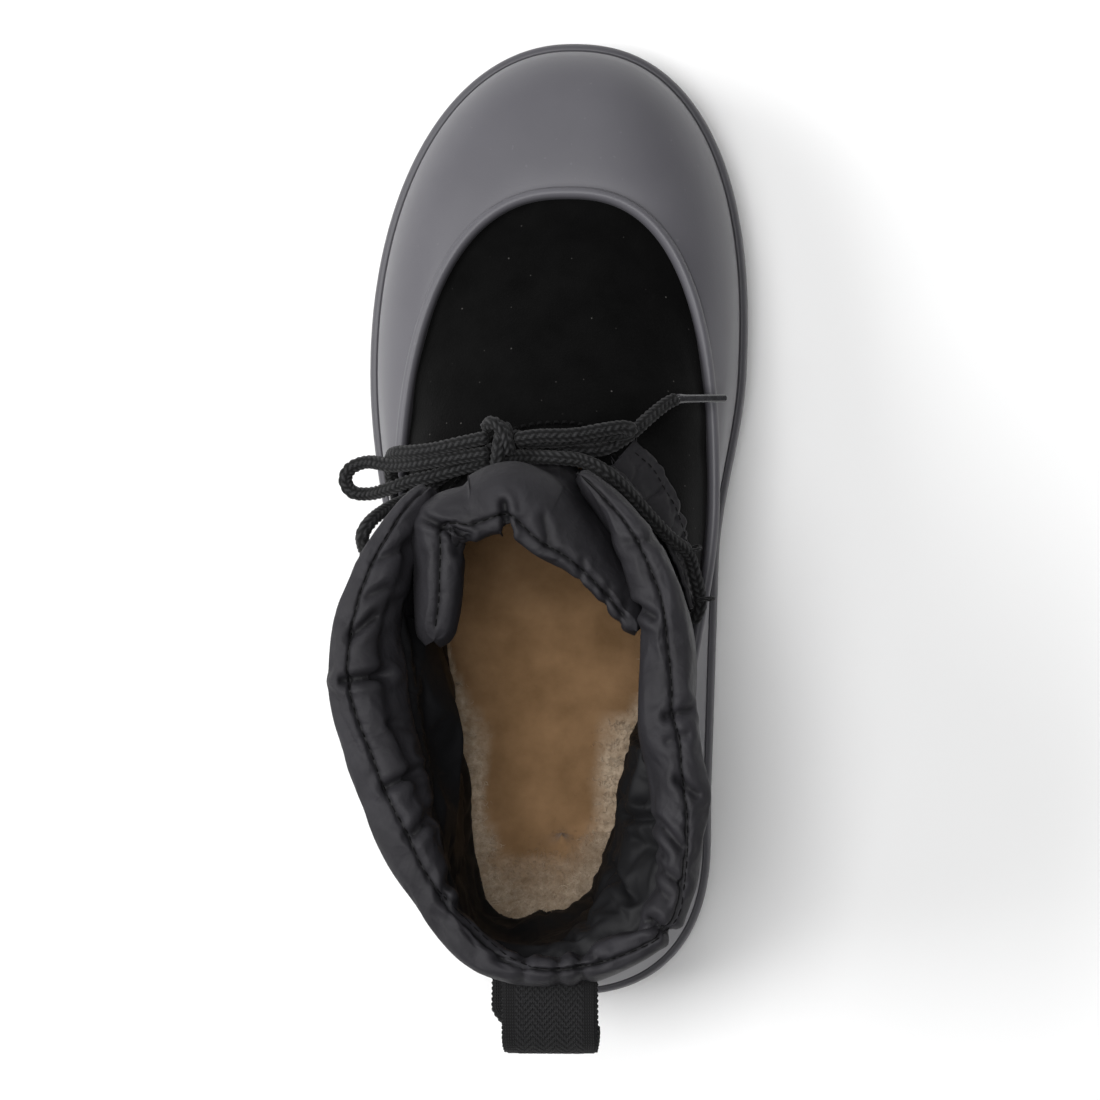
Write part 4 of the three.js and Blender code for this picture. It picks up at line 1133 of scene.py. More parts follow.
def padded_collar():
    count, around = 216, 78
    low, high = COLLAR[0, 0], COLLAR[-1, 0]
    angles = np.linspace(low, high, count)
    run = lengths(ring_at(angles, column(STITCH_LINE, 1, angles), 0), 0)
    angles = np.interp(np.linspace(0, run[-1], count), run, angles)
    reach, thick, top, bulge = collar_values(angles)
    seams = np.array([on_ray(SEAM, a) for a in angles])
    stitch = column(STITCH_LINE, 1, angles)
    ends = rounded_ends(np.minimum(angles - low, high - angles), 3.2)
    middle = reach - thick / 2
    thick = thick * ends
    reach = middle + thick / 2
    wall = 4.6 * ends
    wall_middle = seams[:, 0] - 2.3
    base = seams[:, 1] + GAP

    def face(t):
        swell = np.sin(math.pi * np.clip(t * 1.12, 0, 1)) * (1 - t * 0.7)
        return mix(wall_middle + wall / 2, reach, smooth((t + t * t) / 2)) + bulge * swell

    def height(t):
        return mix(base, top, t)

    def back(t):
        return mix(wall, thick, smooth((t - 0.35) / 0.5))

    outline = [
        (face(0.0), base),
        (face(0.2), height(0.2)),
        (face(0.45), height(0.45)),
        (face(0.7), height(0.7)),
        (reach, height(0.87)),
        (reach - thick * 0.1, height(0.96)),
        (reach - thick * 0.28, top),
        (reach - thick * 0.5, top + 0.4),
        (reach - thick * 0.72, top - 0.2),
        (reach - thick * 0.92, height(0.95)),
        (reach - thick, height(0.86)),
        (face(0.7) - back(0.7), height(0.72)),
        (face(0.4) - back(0.4), height(0.4)),
        (wall_middle - wall / 2, base),
    ]
    rings = spline(np.array([ring_at(angles, r, z) for r, z in outline]), around, closed=True).transpose(1, 0, 2)
    rings = np.concatenate([rings, rings[:, :1]], 1)
    normals = surface_normals(rings, away_from=rings.mean(1, keepdims=True))
    off = np.linalg.norm(rings[..., :2] - ANKLE, axis=-1) - stitch[:, None]
    along = lengths(ring_at(angles, stitch, top), 0)[:, None] + off * 0
    on_top = smooth((rings[..., 2] - (top[:, None] - 7)) / 3)
    channel = -0.8 * bell(off, 1.4) * on_top
    tucks = -fold_field(rings, COLLAR_FOLDS) * smooth((rings[..., 2] - (top[:, None] - 22)) / 10)
    uneven = 0.3 * noise(rings, 8, 5) + 0.4 * noise(rings * [1, 1, 0.5], 19, 6)
    rings = rings + normals * ((channel + tucks + uneven - 0.5) * ends[:, None])[..., None]
    held = np.maximum(0.6 * bell(off, 1.0) * on_top, 1 - smooth((rings[..., 2] - base[:, None] - 2) / 8))
    # The inner half of the roll and the inner wall have more cloth than the smooth outer band.
    slack = smooth((1.5 - off) / 4) * smooth((rings[..., 2] - base[:, None] - 6) / 10)
    piece = skin(
        "padded_collar",
        rings,
        values={"held": np.where(held < 0.06, 0, held), "slack": slack, "off": off, "along": along, "on_top": on_top},
    )
    sewn_cloth(piece, (0.012, 0.05), 8, 0.6)
    return piece, ring_at(angles, stitch, top)


# ---------------------------------------------------------------- tongue
# Each row: the roll's line x, y and top, its thickness, the ray of its foot, how deep that lies in the seam, and how
# far the smooth lobe in front stands out beyond the roll.
TONGUE = np.array(
    [
        [-31.4, -33.5, 143, 10, -51, 5.75, 0],
        [-29.6, -22, 147, 13, -41, 5.75, 0],
        [-29, -9, 148, 13, -31, 5.75, 1],
        [-28.2, 0.2, 148, 13, -23, 5.75, 3.2],
        [-19.5, 0.8, 149, 12, -13, 2.8, 5.5],
        [-9.3, 3.4, 149, 12, -3, 2, 6.5],
        [-1.2, -3.4, 148, 12, 5, 1, 5.5],
        [8.5, -9.5, 147, 11, 17, 5.8, 1],
        [17.5, -18, 145, 9, 35, 5.75, 0],
        [27.6, -30.6, 141, 7, 51, 5.75, 0],
    ],
    float,
)
TONGUE_PANEL, TONGUE_LAP = 6, 5
TONGUE_FOLDS = [
    (-34.6, 2.8, -21.0, -3.0, 2.6, 1.3),
    (-25.2, -2.6, -24.0, -7.6, 1.0, 1.3),
    (-10.4, 7.0, -9.4, -1.8, 2.4, 1.3),
    (1.0, 3.0, 2.6, -5.0, 0.9, 1.6),
    (12.5, -10.0, 11.5, -15.0, 0.6, 1.2),
    (20.0, -17.5, 18.0, -23.0, 0.7, 1.2),
    (25.0, -22.0, 22.5, -28.0, 0.7, 1.2),
]


def inset(ring, distance):
    """A section moved inwards, in plan."""
    along = np.roll(ring, -1, 0) - np.roll(ring, 1, 0)
    along[:, 2] = 0
    along /= np.linalg.norm(along, axis=1, keepdims=True)
    step = np.stack([-along[:, 1] * distance, along[:, 0] * distance, 0 * along[:, 0]], 1)
    inwards = ((ring.mean(0) - ring) * step).sum() > 0
    return ring + (step if inwards else -step)


def padded_tongue():
    count, around = 130, 64
    top = spline(TONGUE[:, :3], count)
    thick = spline(TONGUE[:, 3], count)
    lobe = np.maximum(0, spline(TONGUE[:, 6], count))
    feet = []
    for row in TONGUE:
        # The panel's outer face lies within the suede's wall, so no light shows between them.
        reach, z = on_ray(inset(SEAM, row[5] + TONGUE_PANEL / 2 - 1.4), row[4] % 360)
        feet.append(ring_at(np.array(row[4]), reach, z - TONGUE_LAP))
    foot = spline(feet, count)
    tangent = np.gradient(top, axis=0) * [1, 1, 0]
    tangent /= np.linalg.norm(tangent, axis=1, keepdims=True)
    out = np.stack([-tangent[:, 1], tangent[:, 0], 0 * tangent[:, 0]], 1)
    run = lengths(top, 0)
    ends = rounded_ends(np.minimum(run, run[-1] - run), 5)
    panel = TONGUE_PANEL * ends
    thick = thick * ends
    front = thick / 2 + lobe

    def place(share, step):
        return mix(top, foot, share) + out * np.asarray(step)[:, None]

    outline = [
        place(1, panel / 2),
        place(0.75, panel / 2 + 0.5 + lobe * 0.4),
        place(0.5, mix(panel / 2 + 1, front, 0.6)),
        place(0.26, front),
        place(0.13, front * 0.92),
        place(0.035, front * 0.66),
        place(0, thick / 4),
        place(-0.01, thick * 0),
        place(0, -thick / 4),
        place(0.035, -thick / 2 * 0.8),
        place(0.13, -thick / 2),
        place(0.26, -thick / 2 * 0.85),
        place(0.5, -panel / 2),
        place(0.75, -panel / 2),
        place(1, -panel / 2),
    ]
    rings = spline(np.array(outline), around, closed=True).transpose(1, 0, 2)
    rings = np.concatenate([rings, rings[:, :1]], 1)
    normals = surface_normals(rings, away_from=rings.mean(1, keepdims=True))
    off = ((rings - top[:, None]) * out[:, None]).sum(-1)
    down = top[:, 2][:, None] - rings[..., 2]
    # At its ends the roll is a plain bag, without the stitches' channel.
    on_top = smooth((6 - down) / 3) * smooth((np.minimum(run, run[-1] - run) - 2) / 5)[:, None]
    channel = -0.8 * bell(off, 1.4) * on_top
    tucks = -fold_field(rings, TONGUE_FOLDS) * smooth((20 - down) / 9)
    uneven = 0.3 * noise(rings, 7, 15) + 0.4 * noise(rings, 17, 16)
    rings = rings + normals * ((channel + tucks + uneven - 0.4) * ends[:, None])[..., None]
    low = rings[..., 2] - foot[:, 2][:, None]
    held = np.maximum(0.6 * bell(off, 1.0) * on_top, 1 - smooth((low - 2) / 10))
    piece = skin(
        "padded_tongue",
        rings,
        values={
            "held": np.where(held < 0.06, 0, held),
            "slack": smooth((20 - down) / 12) * smooth(run / 60)[:, None],
            "off": off,
            "along": run[:, None] + off * 0,
            "on_top": on_top,
        },
    )
    sewn_cloth(piece, (0.01, 0.028), 7, 0.6)
    return piece, top


# ---------------------------------------------------------------- lining
# Where the lining meets the fleece: angle and reach from the ankle's axis, and how wide the fleece is loose there.
FLEECE_EDGE = np.array(
    [
        [-10, 60, 0],
        [20, 52, 0],
        [52, 38.0, 0],
        [78, 34.5, 3],
        [88, 33.5, 7],
        [96, 31.3, 12],
        [119, 31.5, 15],
        [135, 35.4, 13],
        [148, 44.1, 13],
        [156, 50.5, 14],
        [164, 58.1, 17],
        [170, 63.0, 20],
        [179, 62.7, 20],
        [187, 65.5, 20],
        [194, 62.9, 18],
        [201, 53.0, 15],
        [207, 45.4, 12],
        [217, 35.1, 12],
        [243, 26.9, 13],
        [262, 26.6, 10],
        [277, 26.5, 6],
        [294, 30.3, 2],
        [307, 35.9, 0],
        [330, 50, 0],
        [350, 60, 0],
        [380, 52, 0],
    ],
    float,
)
LINING_LOW, LINING_HEM = 43.2, 41.5
LINING_ROWS = 56


def walls_inside(angle, heights):
    """Reach of the boot's inner wall at heights: the padded shaft's above the seam, the suede's below it."""
    wall = np.array([on_ray(ring, angle) for ring in UPPER])
    seam_z = wall[-1, 1]
    _, thick, top, _ = collar_values(angle)
    out = []
    for z in heights:
        if z > seam_z + GAP:
            t = (z - seam_z - GAP) / (top - seam_z - GAP)
            out.append(face_at(angle, t)[0] - mix(4.6, thick, smooth((t - 0.35) / 0.5)))
        else:
            out.append(np.interp(z, wall[:, 1], wall[:, 0]) - UPPER_WALL)
    return np.array(out)


# Where the lining is drawn in at the heel's inner side, as the collar's tucks are.
LINING_FOLDS = [
    (34.0, -84.0, 25.0, -86.5, 3.0, 1.4),
    (36.0, -96.0, 27.0, -93.0, 1.8, 1.5),
    (27.0, -108.5, 20.0, -101.0, 2.2, 1.6),
    (15.0, -118.0, 9.0, -109.0, 2.0, 1.6),
    (-2.0, -119.0, -3.0, -109.0, 1.6, 1.5),
    (-19.0, -104.0, -13.0, -99.0, 1.6, 1.5),
]


def crinkled_lining():
    """The shaft's lining, which bags out over the fleece's edge, cut too large and so crumpled."""
    angles = np.linspace(60, 310, 216)
    reach, thick, top, _ = collar_values(angles)
    shares = np.linspace(0, 1, LINING_ROWS)
    # On the heel's inner side it puffs out right under the collar.
    puffed = (smooth((angles - 88) / 22) * smooth((188 - angles) / 18))[:, None]
    z = mix(top[:, None] - 10, LINING_LOW, mix(shares, shares**1.5, puffed))
    high, low = (reach - thick + 5)[:, None], column(FLEECE_EDGE, 1, angles)[:, None]
    bagged = mix(high, low, mix(shares**1.3, 1 - (1 - shares) ** 2.4, puffed))
    bagged = bagged + mix(3.0, 0.0, puffed) * np.sin(math.pi * shares)
    # It hangs clear of the walls, but starts inside the collar's roll.
    walls = np.array([walls_inside(a, heights) for a, heights in zip(angles, z)])
    bagged = np.minimum(bagged, walls + mix(5, -2.2, smooth(shares / 0.16)))
    rows = ring_at(angles[None], bagged.T, z.T)
    hem = ring_at(angles, low[:, 0] + 2.5, LINING_HEM)
    rows = np.concatenate([rows, hem[None]])
    normals = surface_normals(rows, away_from=[*ANKLE, 90])
    # Crumples have sharp crests, and hollows between them.
    crests = 0.35 - np.abs(noise(rows * [1, 1, 0.8], 15, 41)) - 0.4 * np.abs(noise(rows, 7, 42))
    uneven = crests * mix(0.5, 3.2, puffed[:, 0]) - fold_field(rows, LINING_FOLDS)
    edge = smooth(np.minimum(np.arange(LINING_ROWS + 1), LINING_ROWS - np.arange(LINING_ROWS + 1)) / 5)[:, None]
    rows = rows - normals * (uneven * edge)[..., None]
    slack = smooth((198 - angles) / 20)[None] + 0 * edge
    piece = skin("crinkled_lining", rows, values={"held": 1 - edge, "slack": slack})
    sewn_cloth(piece, (0.05, 0.11), 0, 0.25)
    flat = (float(lengths(rows, 1)[:, -1].mean()), float(lengths(rows, 0)[-1].mean()))
    return piece, flat


FACING_ROWS, FACING_COLUMNS = 22, 84


def facing_strip(name, start, stop, slant=0.0):
    """A nylon strip over the seam: its folded front edge and its ends are sewn down, and the rest puckers."""
    angles = np.linspace(start, stop, FACING_COLUMNS)[:, None]
    steps = np.linspace(FACING["low"], FACING["high"], FACING_ROWS)[None]
    # The first end is cut on a slant, so its upper corner lies farther round.
    share = (steps - FACING["low"]) / (FACING["high"] - FACING["low"])
    angles = angles - slant * share * (1 - smooth(np.arange(FACING_COLUMNS) / 24))[:, None]
    middle = FACING["skin"] + FACING["thick"] / 2
    # Its edges are drawn in unevenly by the needle.
    spots = np.stack(np.broadcast_arrays(angles * 0.8, steps * 0.05, 0), -1)
    wavy = steps + 0.5 * noise(spots, 3.4, 53) * np.abs(share * 2 - 1)
    sheet = np.array(
        [[off_face(a % 360, on_ray(SEAM, a % 360)[1] + up, middle) for a, up in zip(*row)] for row in zip(angles, wavy)]
    )
    out = surface_normals(sheet, away_from=[*ANKLE, 100])
    rows = np.arange(FACING_ROWS)
    sewn = bell(rows - 3.0, 0.9) + bell(rows - (FACING_ROWS - 1), 1.0)
    ends = smooth(np.minimum(np.arange(FACING_COLUMNS), FACING_COLUMNS - 1 - np.arange(FACING_COLUMNS)) / 4)[:, None]
    off = steps - steps[0, 3] + 0 * angles
    puckers = gathers(lengths(sheet, 0), off, 31, 4.5, 1.7, 11)
    slack = (0.4 * noise(sheet, 6, 51) + 0.2 * noise(sheet, 3, 52) - puckers) * (1 - np.clip(sewn, 0, 1)) * ends
    sheet = sheet + out * slack[..., None]
    held = np.clip(np.maximum(sewn[None], 1 - ends), 0, 1)
    piece = skin(name + "_cloth", sheet, values={"held": np.where(held < 0.06, 0, held), "slack": held * 0 + 1})
    sewn_cloth(piece, (0.06, 0.06), 0, 0.1)
    return piece, sheet


collar, collar_line = padded_collar()
tongue, tongue_line = padded_tongue()
lining, lining_flat = crinkled_lining()
facings, facing_sheets = zip(
    facing_strip("facing_inner", 20, 56, slant=5), facing_strip("facing_outer", 327, 290, slant=-4)
)
settle([(collar, 3.6), (tongue, 2.8), (lining, 2.6), (facings[0], 1.4), (facings[1], 1.4)])


def sewn_channel(piece, folds, seed, near_gathers, far_gathers):
    """Draws the cloth down to its line of stitches, with short gathers off it, sharpens the tucks, and paints shade
    along the stitch line and in the tucks.
    """
    subdivided(piece)
    off, along, on_top = (read_values(piece, name) for name in ("off", "along", "on_top"))
    points = read_points(piece)
    down = 0.6 * bell(off, 0.5) + gathers(along, off, seed, 3.4, near_gathers, 2.4)
    down = down + gathers(along, off, seed + 1, 11, far_gathers, 6)
    tucks = fold_field(points, [(*fold[:4], fold[4] * 0.3, 0.8) for fold in folds])
    place_points(piece, points - read_normals(piece) * ((down + tucks) * on_top)[:, None])
    # Painted shade: dark lines along the needle's line and in the tucks, kept as an attribute for the nylon's colour.
    creases = fold_field(points, [(*fold[:4], 0.35 + 0.15 * min(3, fold[4]), 0.6) for fold in folds])
    line = np.maximum(0.9 * bell(off, 0.42), creases)
    layer = piece.data.attributes.new("crease_shade", "FLOAT", "POINT")
    layer.data.foreach_set("value", np.clip(line * on_top, 0, 1))


for piece, folds, seed, near, far, node_name in (
    (collar, COLLAR_FOLDS, 5, 0.45, 0.3, "shaft"),
    (tongue, TONGUE_FOLDS, 21, 0.3, 0.2, "tongue"),
):
    sewn_channel(piece, folds, seed, near, far)
    finish_piece(piece, NYLON, [node_name])

subdivided(lining)
only(lining)
thicken = lining.modifiers.new("cloth", "SOLIDIFY")
thicken.thickness = 0.4 * MM
thicken.offset = 0
apply_modifiers(lining)
finish_piece(lining, LINING)

for piece, node_name in zip(facings, ("facing_inner", "facing_outer")):
    thicken = piece.modifiers.new("hem", "SOLIDIFY")
    thicken.thickness = 1.3 * MM
    thicken.offset = 0
    apply_modifiers(piece)
    subdivided(piece)
    finish_piece(piece, FACING_NYLON, [node_name])


# ---------------------------------------------------------------- stitches
def stitch_bar(length, thick):
    """One stitch along X: a bar of thread, drawn in at its ends, that dives into the cloth there."""
    bpy.ops.object.select_all(action="DESELECT")
    bpy.ops.mesh.primitive_cylinder_add(
        vertices=6, radius=thick / 2, depth=length * 0.6, end_fill_type="NGON", rotation=(0, math.pi / 2, 0)
    )
    bar = bpy.context.object
    bpy.ops.object.transform_apply(location=False, rotation=True, scale=False)
    for side in (-1, 1):
        bpy.ops.object.mode_set(mode="EDIT")
        bpy.ops.mesh.select_all(action="DESELECT")
        bpy.ops.object.mode_set(mode="OBJECT")
        for face in bar.data.polygons:
            face.select = face.normal.x * side > 0.9
        bpy.ops.object.mode_set(mode="EDIT")
        shift = (side * length * 0.2, 0, -thick * 0.9)
        bpy.ops.mesh.extrude_region_move(TRANSFORM_OT_translate={"value": shift})
        bpy.ops.transform.resize(value=(0.6, 0.6, 0.6))
        bpy.ops.object.mode_set(mode="OBJECT")
    points = np.empty(len(bar.data.vertices) * 3)
    bar.data.vertices.foreach_get("co", points)
    faces = [tuple(face.vertices) for face in bar.data.polygons]
    bpy.data.objects.remove(bar)
    return points.reshape(-1, 3), faces


def stitch_row(name, line, ups, length=3.0, pitch=3.5, thick=0.4, stagger=0.0):
    """A row of stitches along a line, copies of one bar joined to one mesh."""
    bar, faces = stitch_bar(length, thick)
    run = lengths(line, 0)
    points, polygons = [], []
    for start in np.arange(0.3 + stagger, run[-1] - length, pitch):
        place = np.array([np.interp(start + length / 2, run, line[:, i]) for i in range(3)])
        way = np.array([np.interp(start + length, run, line[:, i]) - np.interp(start, run, line[:, i]) for i in range(3)])
        up = np.array([np.interp(start, run, ups[:, i]) for i in range(3)])
        way /= np.linalg.norm(way)
        side = np.cross(up, way)
        side /= np.linalg.norm(side)
        up = np.cross(way, side)
        first = len(points) * len(bar)
        points.append(place + bar[:, :1] * way + bar[:, 1:2] * side + bar[:, 2:] * up)
        polygons.extend(tuple(first + index for index in face) for face in faces)
    mesh = bpy.data.meshes.new(name)
    mesh.from_pydata(np.concatenate(points) * MM, [], polygons)
    made = bpy.data.objects.new(name, mesh)
    bpy.context.scene.collection.objects.link(made)
    only(made)
    bpy.ops.object.shade_smooth()
    return made


def laid_on(piece, line, lift):
    """The line's places set down on a piece from above, evened out."""
    rows = line.copy()
    for p in rows:
        hit, where, _, _ = piece.ray_cast(Vector((p * MM).tolist()) + Vector((0, 0, 0.012)), (0, 0, -1))
        if hit:
            p[2] = where.z / MM + lift
    rows[2:-2, 2] = sum(rows[k : len(rows) - 4 + k, 2] for k in range(5)) / 5
    return rows


UP = np.array([0, 0, 1.0])
for name, piece, line in (("collar_stitches", collar, collar_line[6:-6]), ("tongue_stitches", tongue, tongue_line[5:-5])):
    line = laid_on(piece, spline(line, len(line) * 3), 0.0)
    finish_piece(stitch_row(name, line, np.tile(UP, (len(line), 1))), THREAD)

# Two rows of thick thread hold the suede's throat edge.
for name, drop, stagger in (("throat_stitches_upper", 3.4, 0.0), ("throat_stitches_lower", 6.6, 1.1)):
    line = []
    for angle in np.arange(-48, 62, 1.0):
        z = on_ray(SEAM, angle % 360)[1] - drop
        line.append(off_face(angle % 360, z, 0.35))
    line = np.array(line)
    away = line - [*ANKLE, 60]
    ups = away / np.linalg.norm(away, axis=1, keepdims=True)
    finish_piece(stitch_row(name, line, ups, 1.9, 2.5, 0.9, stagger), THREAD)

# One row holds each facing's hem.
for name, sheet in zip(("facing_stitches_inner", "facing_stitches_outer"), facing_sheets):
    out = surface_normals(sheet, away_from=[*ANKLE, 100])
    line = (sheet + out * 0.7)[3:-3, 3]
    finish_piece(stitch_row(name, line, out[3:-3, 3], 1.9, 2.6, 0.4), THREAD)


def frayed_threads(name, sheet, seed):
    """Threads that stick out of a strip's cut end, the longest at its lower corner."""
    rng = np.random.default_rng(seed)
    turn = np.linspace(0, 2 * math.pi, 6)[None, :, None]
    parts = []
    for k, share in enumerate([0.0, *rng.uniform(0, 1, 14)]):
        row = int(share * (FACING_ROWS - 1))
        way = sheet[0, row] - sheet[4, row]
        way /= np.linalg.norm(way)
        far = 4.0 if k == 0 else rng.uniform(0.8, 2.6)
        place = sheet[1, row]
        bend = rng.normal(0, 0.3, 3)
        line, _ = cord_line([place, place + way * far * 0.5 + bend, place + way * far + bend * 2 + rng.normal(0, 0.4, 3)])
        sides, ups = tube_frames(line)
        parts.append(skin(name, line[:, None] + 0.14 * (np.cos(turn) * sides[:, None] + np.sin(turn) * ups[:, None])))
    return finish_piece(joined(name, parts), FACING_NYLON)


frayed_threads("frayed_threads", facing_sheets[0], 9)


# ---------------------------------------------------------------- insole
def fleece_insole():
    outer = np.array(UPPER[:2])
    normals = surface_normals(np.array(UPPER), closed_columns=True, away_from=[0, 0, 60])[:2]
    inner = outer - normals * (UPPER_WALL + GAP)
    rim = []
    for up in (0.3, 3, 6):
        ring = mix(inner[0], inner[1], up / 12)
        ring[:, 2] = inner[0][:, 2] + up
        rim.append(ring)
    spine = rim[-1].copy()
    spine[:, 0] = 2
    spine[:, 1] = np.clip(spine[:, 1], -95, 95)
    rings = list(rim)
    for share in np.linspace(0.02, 1, 90):
        ring = mix(rim[-1], spine, share)
        ring[:, 2] = rim[-1][:, 2] + 0.7 * smooth(share * 8)
        rings.append(ring)
    # The rings close on a line, where the pile has to be even.
    even = np.concatenate([np.ones(3), 1 - smooth((np.linspace(0.02, 1, 90) - 0.86) / 0.12)])[:, None]
    rings = np.array(rings)
    rings = np.concatenate([rings, rings[:, :1]], 1)
    angle = np.degrees(np.arctan2(rings[..., 0] - ANKLE[0], rings[..., 1] - ANKLE[1])) % 360
    edge = column(FLEECE_EDGE, 1, angle) - np.linalg.norm(rings[..., :2] - ANKLE, axis=-1)
    band = column(FLEECE_EDGE, 2, angle)
    ragged = band * (0.85 + 0.3 * noise(rings, 26, 31) + 0.3 * noise(rings, 7, 32))
    loose = np.where(band > 0.5, smooth(1.25 - 1.15 * edge / np.maximum(ragged, 1)), 0)
    loose = np.where(rings[..., 1] > 0, 0, loose)
    loose = np.clip(loose * (0.88 + 0.25 * noise(rings, 3, 33)), 0, 1)
    on_top = np.arange(len(rings))[:, None] >= 3
    pile = (0.35 + 1.3 * loose) * (0.5 * noise(rings, 2.6, 34) + 0.5 * noise(rings, 5.5, 35)) + 1.1 * loose
    trodden = -0.9 * bell(rings[..., 0] - 2, 17) * bell(rings[..., 1] + 92, 24)
    rings[..., 2] += np.where(on_top, pile * even + trodden, 0)
    piece = skin("fleece_insole", rings[:, ::-1], values={"loose": loose[:, ::-1]})
    return finish_piece(piece, FLEECE, ["insole"]), rings, loose


insole, insole_rings, insole_loose = fleece_insole()


def fleece_tufts():
    """Curls of pile, long at the edges and short where the fleece is pressed."""
    rng = np.random.default_rng(77)
    points = insole_rings[3:].reshape(-1, 3)
    loose = insole_loose[3:].reshape(-1)
    weight = (0.03 + loose) * (points[:, 1] < 10)
    picks = rng.choice(len(points), 9000, p=weight / weight.sum())
    verts, faces, tone = [], [], []
    for k in picks:
        place = points[k] + rng.normal(0, 0.8, 3) * [1, 1, 0] - [0, 0, 0.3]
        tall = mix(0.8, 2.3, loose[k]) * rng.uniform(0.6, 1.3)
        heading = rng.uniform(0, 2 * math.pi)
        curl = rng.uniform(0.8, 2.8) * rng.choice([-1, 1])
        width = rng.uniform(0.1, 0.2)
        base = len(verts)
        for share in np.linspace(0, 1, 4):
            lean = np.array([math.cos(heading + curl * share), math.sin(heading + curl * share), 0])
            place = place + lean * tall * 0.3 + [0, 0, tall * 0.3 * (1 - 0.7 * share)]
            across = np.array([-lean[1], lean[0], 0.2]) * width * (1 - 0.8 * share)
            verts.extend([(place - across) * MM, (place + across) * MM])
        faces.extend((base + 2 * s, base + 2 * s + 1, base + 2 * s + 3, base + 2 * s + 2) for s in range(3))
        tone.extend([loose[k]] * 8)
    mesh = bpy.data.meshes.new("fleece_tufts")
    mesh.from_pydata(verts, [], faces)
    mesh.attributes.new("loose", "FLOAT", "POINT").data.foreach_set("value", np.array(tone, float))
    made = bpy.data.objects.new("fleece_tufts", mesh)
    bpy.context.scene.collection.objects.link(made)
    return finish_piece(made, FLEECE)


fleece_tufts()

# ---------------------------------------------------------------- lace loops and strap
LOOP_BOW = {"half": 4.6, "foot": 0.85, "stand": 6.4, "wire": 1.5}
for name, angle in LOOPS.items():
    half, foot, stand = LOOP_BOW["half"], LOOP_BOW["foot"], LOOP_BOW["stand"]
    bow = [(foot, -half), (stand * 0.55, -half * 0.95), (stand, 0), (stand * 0.55, half * 0.95), (foot, half)]
    loop, _, _ = plaited_cord(name + "_cord", [on_loop(angle, out, up) for out, up in bow], LOOP_BOW["wire"])
    finish_piece(loop, PLAIT_YARN, [name])

PULL = {"x": 2.3, "width": 28.3, "thick": 2, "topZ": 137, "lowZ": 112, "endY": -154.2, "rootY": -128}
# The herringbone on the strap: its columns' width and its ridges' distance, in mm.
HERRINGBONE = {"column": 3.1, "ridge": 2.0}


def pull_loop():
    """The webbing strap, folded and sewn in under the collar; its lower leg leans to the outer side."""
    path = [
        (PULL["rootY"], PULL["topZ"] + 1),
        (PULL["endY"] + 14, PULL["topZ"]),
        (PULL["endY"] + 5, PULL["topZ"] - 2.6),
        (PULL["endY"] + 1, PULL["topZ"] - 8.5),
        (PULL["endY"] + 4, PULL["topZ"] - 15.5),
        (PULL["endY"] + 12, PULL["lowZ"] + 2.6),
        (PULL["rootY"], PULL["lowZ"] - 1),
    ]
    fine = spline(path, 190)
    across = np.linspace(-0.5, 0.5, 90)
    tangent = np.gradient(fine, axis=0)
    tangent /= np.linalg.norm(tangent, axis=1, keepdims=True)
    normal = np.stack([tangent[:, 1], -tangent[:, 0]], 1)
    lean = -4.2 * smooth((np.linspace(0, 1, len(fine)) - 0.72) / 0.12)
    along = lengths(fine, 0)
    # The selvedge has a tiny loop at every second rib.
    picot = 0.22 * np.sin(along * 2 * math.pi / 1.6)[:, None] * smooth((np.abs(across) - 0.46) / 0.03)[None]
    # Its fold's corners are rounded off a little.
    narrow = 1 - 0.045 * bell(fine[:, 0] - PULL["endY"], 2.2)[:, None]
    x = PULL["x"] + across[None] * (PULL["width"] - 0.4) * narrow + np.sign(across)[None] * picot + lean[:, None]
    wide = across[None] * PULL["width"]
    lane = np.floor(wide / HERRINGBONE["column"] + 0.5)
    slant = wide * np.where(lane % 2 == 0, 1, -1) + along[:, None]
    relief = smooth((np.sin(slant * 2 * math.pi / HERRINGBONE["ridge"]) + 0.35) / 0.5)
    relief = relief * smooth((0.37 - np.abs(across)) / 0.03)[None]
    sheets = []
    for side in (1, -1):
        step = side * (PULL["thick"] / 2 - 0.3 * (np.abs(across) > 0.47) + 0.12 * relief)
        sheets.append(np.stack([x, fine[:, :1] + normal[:, :1] * step, fine[:, 1:] + normal[:, 1:] * step], -1))
    rings = np.concatenate([sheets[0], sheets[1][:, ::-1], sheets[0][:, :1]], 1)
    mask = np.concatenate([relief, relief[:, ::-1], relief[:, :1]], 1)
    u = np.concatenate([across, across[::-1], across[:1]]) * PULL["width"] / 10
    uv = np.stack(np.broadcast_arrays(u[None], along[:, None] / 10), -1)
    piece = skin("pull_loop_webbing", rings, uv, {"relief": mask}, outwards=True)
    return finish_piece(piece, WEBBING, ["pull_loop"])


pull_loop()


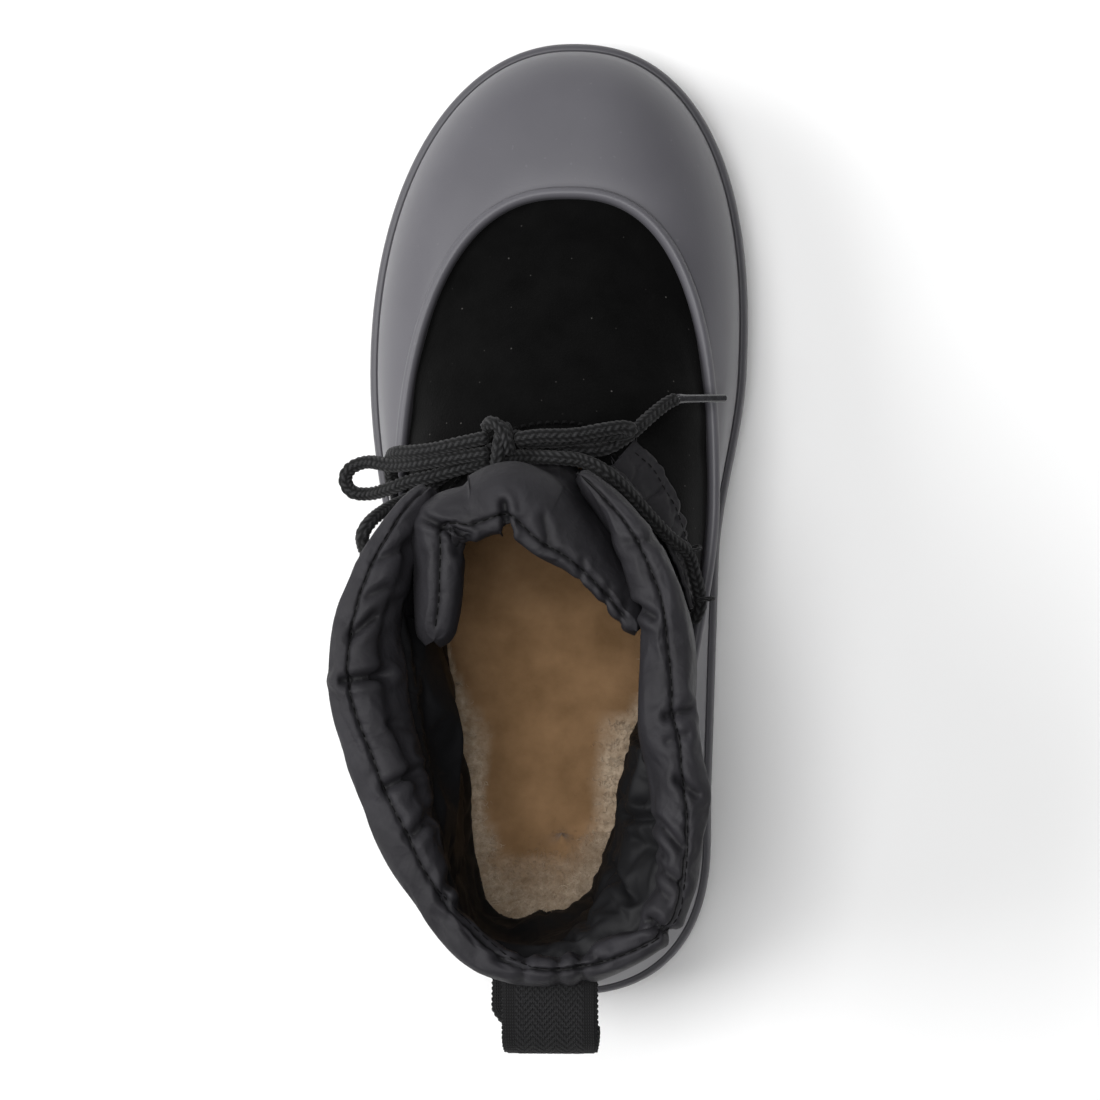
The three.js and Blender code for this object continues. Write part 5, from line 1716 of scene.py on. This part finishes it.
# ---------------------------------------------------------------- outsole
def rubber_outsole():
    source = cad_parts["outsole"]
    piece = source.copy()
    piece.data = source.data.copy()
    piece.animation_data_clear()
    bpy.context.scene.collection.objects.link(piece)
    piece.parent = None
    piece.matrix_world = Matrix.Identity(4)
    piece.name = piece.data.name = "rubber_outsole"
    bpy.ops.object.select_all(action="DESELECT")
    piece.select_set(True)
    bpy.context.view_layer.objects.active = piece
    bpy.ops.object.mode_set(mode="EDIT")
    bpy.ops.mesh.select_all(action="SELECT")
    bpy.ops.mesh.remove_doubles(threshold=0.00002)
    bpy.ops.mesh.dissolve_limited(angle_limit=math.radians(1))
    bpy.ops.mesh.quads_convert_to_tris()
    bpy.ops.object.mode_set(mode="OBJECT")
    bevel = piece.modifiers.new("worn edges", "BEVEL")
    bevel.width = 0.5 * MM
    bevel.segments = 2
    bevel.limit_method = "ANGLE"
    bevel.angle_limit = math.radians(40)
    apply_modifiers(piece)
    bpy.ops.object.shade_smooth_by_angle(angle=math.radians(35))
    return finish_piece(piece, RUBBER, ["outsole"])


rubber_outsole()

# ---------------------------------------------------------------- floor and light
bpy.ops.object.select_all(action="DESELECT")
bpy.ops.mesh.primitive_plane_add(size=6)
floor = bpy.context.object
floor.name = "floor"
floor.data.materials.append(white_paper())


def softbox(name, at, size, power):
    """An area light at a place, turned to the boot."""
    data = bpy.data.lights.new(name, "AREA")
    data.shape = "RECTANGLE"
    data.size, data.size_y = size
    data.energy = power
    made = bpy.data.objects.new(name, data)
    bpy.context.scene.collection.objects.link(made)
    made.location = at
    made.rotation_euler = (Vector(at) - Vector((0, 0, 0.05))).to_track_quat("Z", "Y").to_euler()
    return made


softbox("top", (-0.2, 0.05, 2.4), (1.1, 1.1), 42)
softbox("key_outer_side", (-2.7, 0.3, 2.0), (2.2, 2.2), 90)
softbox("fill_toe", (-0.2, 1.7, 1.4), (1.4, 0.9), 5)
world = bpy.data.worlds.new("studio")
world.use_nodes = True
world.node_tree.nodes["Background"].inputs["Color"].default_value = linear("#ffffff")
world.node_tree.nodes["Background"].inputs["Strength"].default_value = 0.16
bpy.context.scene.world = world
bpy.context.scene.view_settings.view_transform = "Standard"
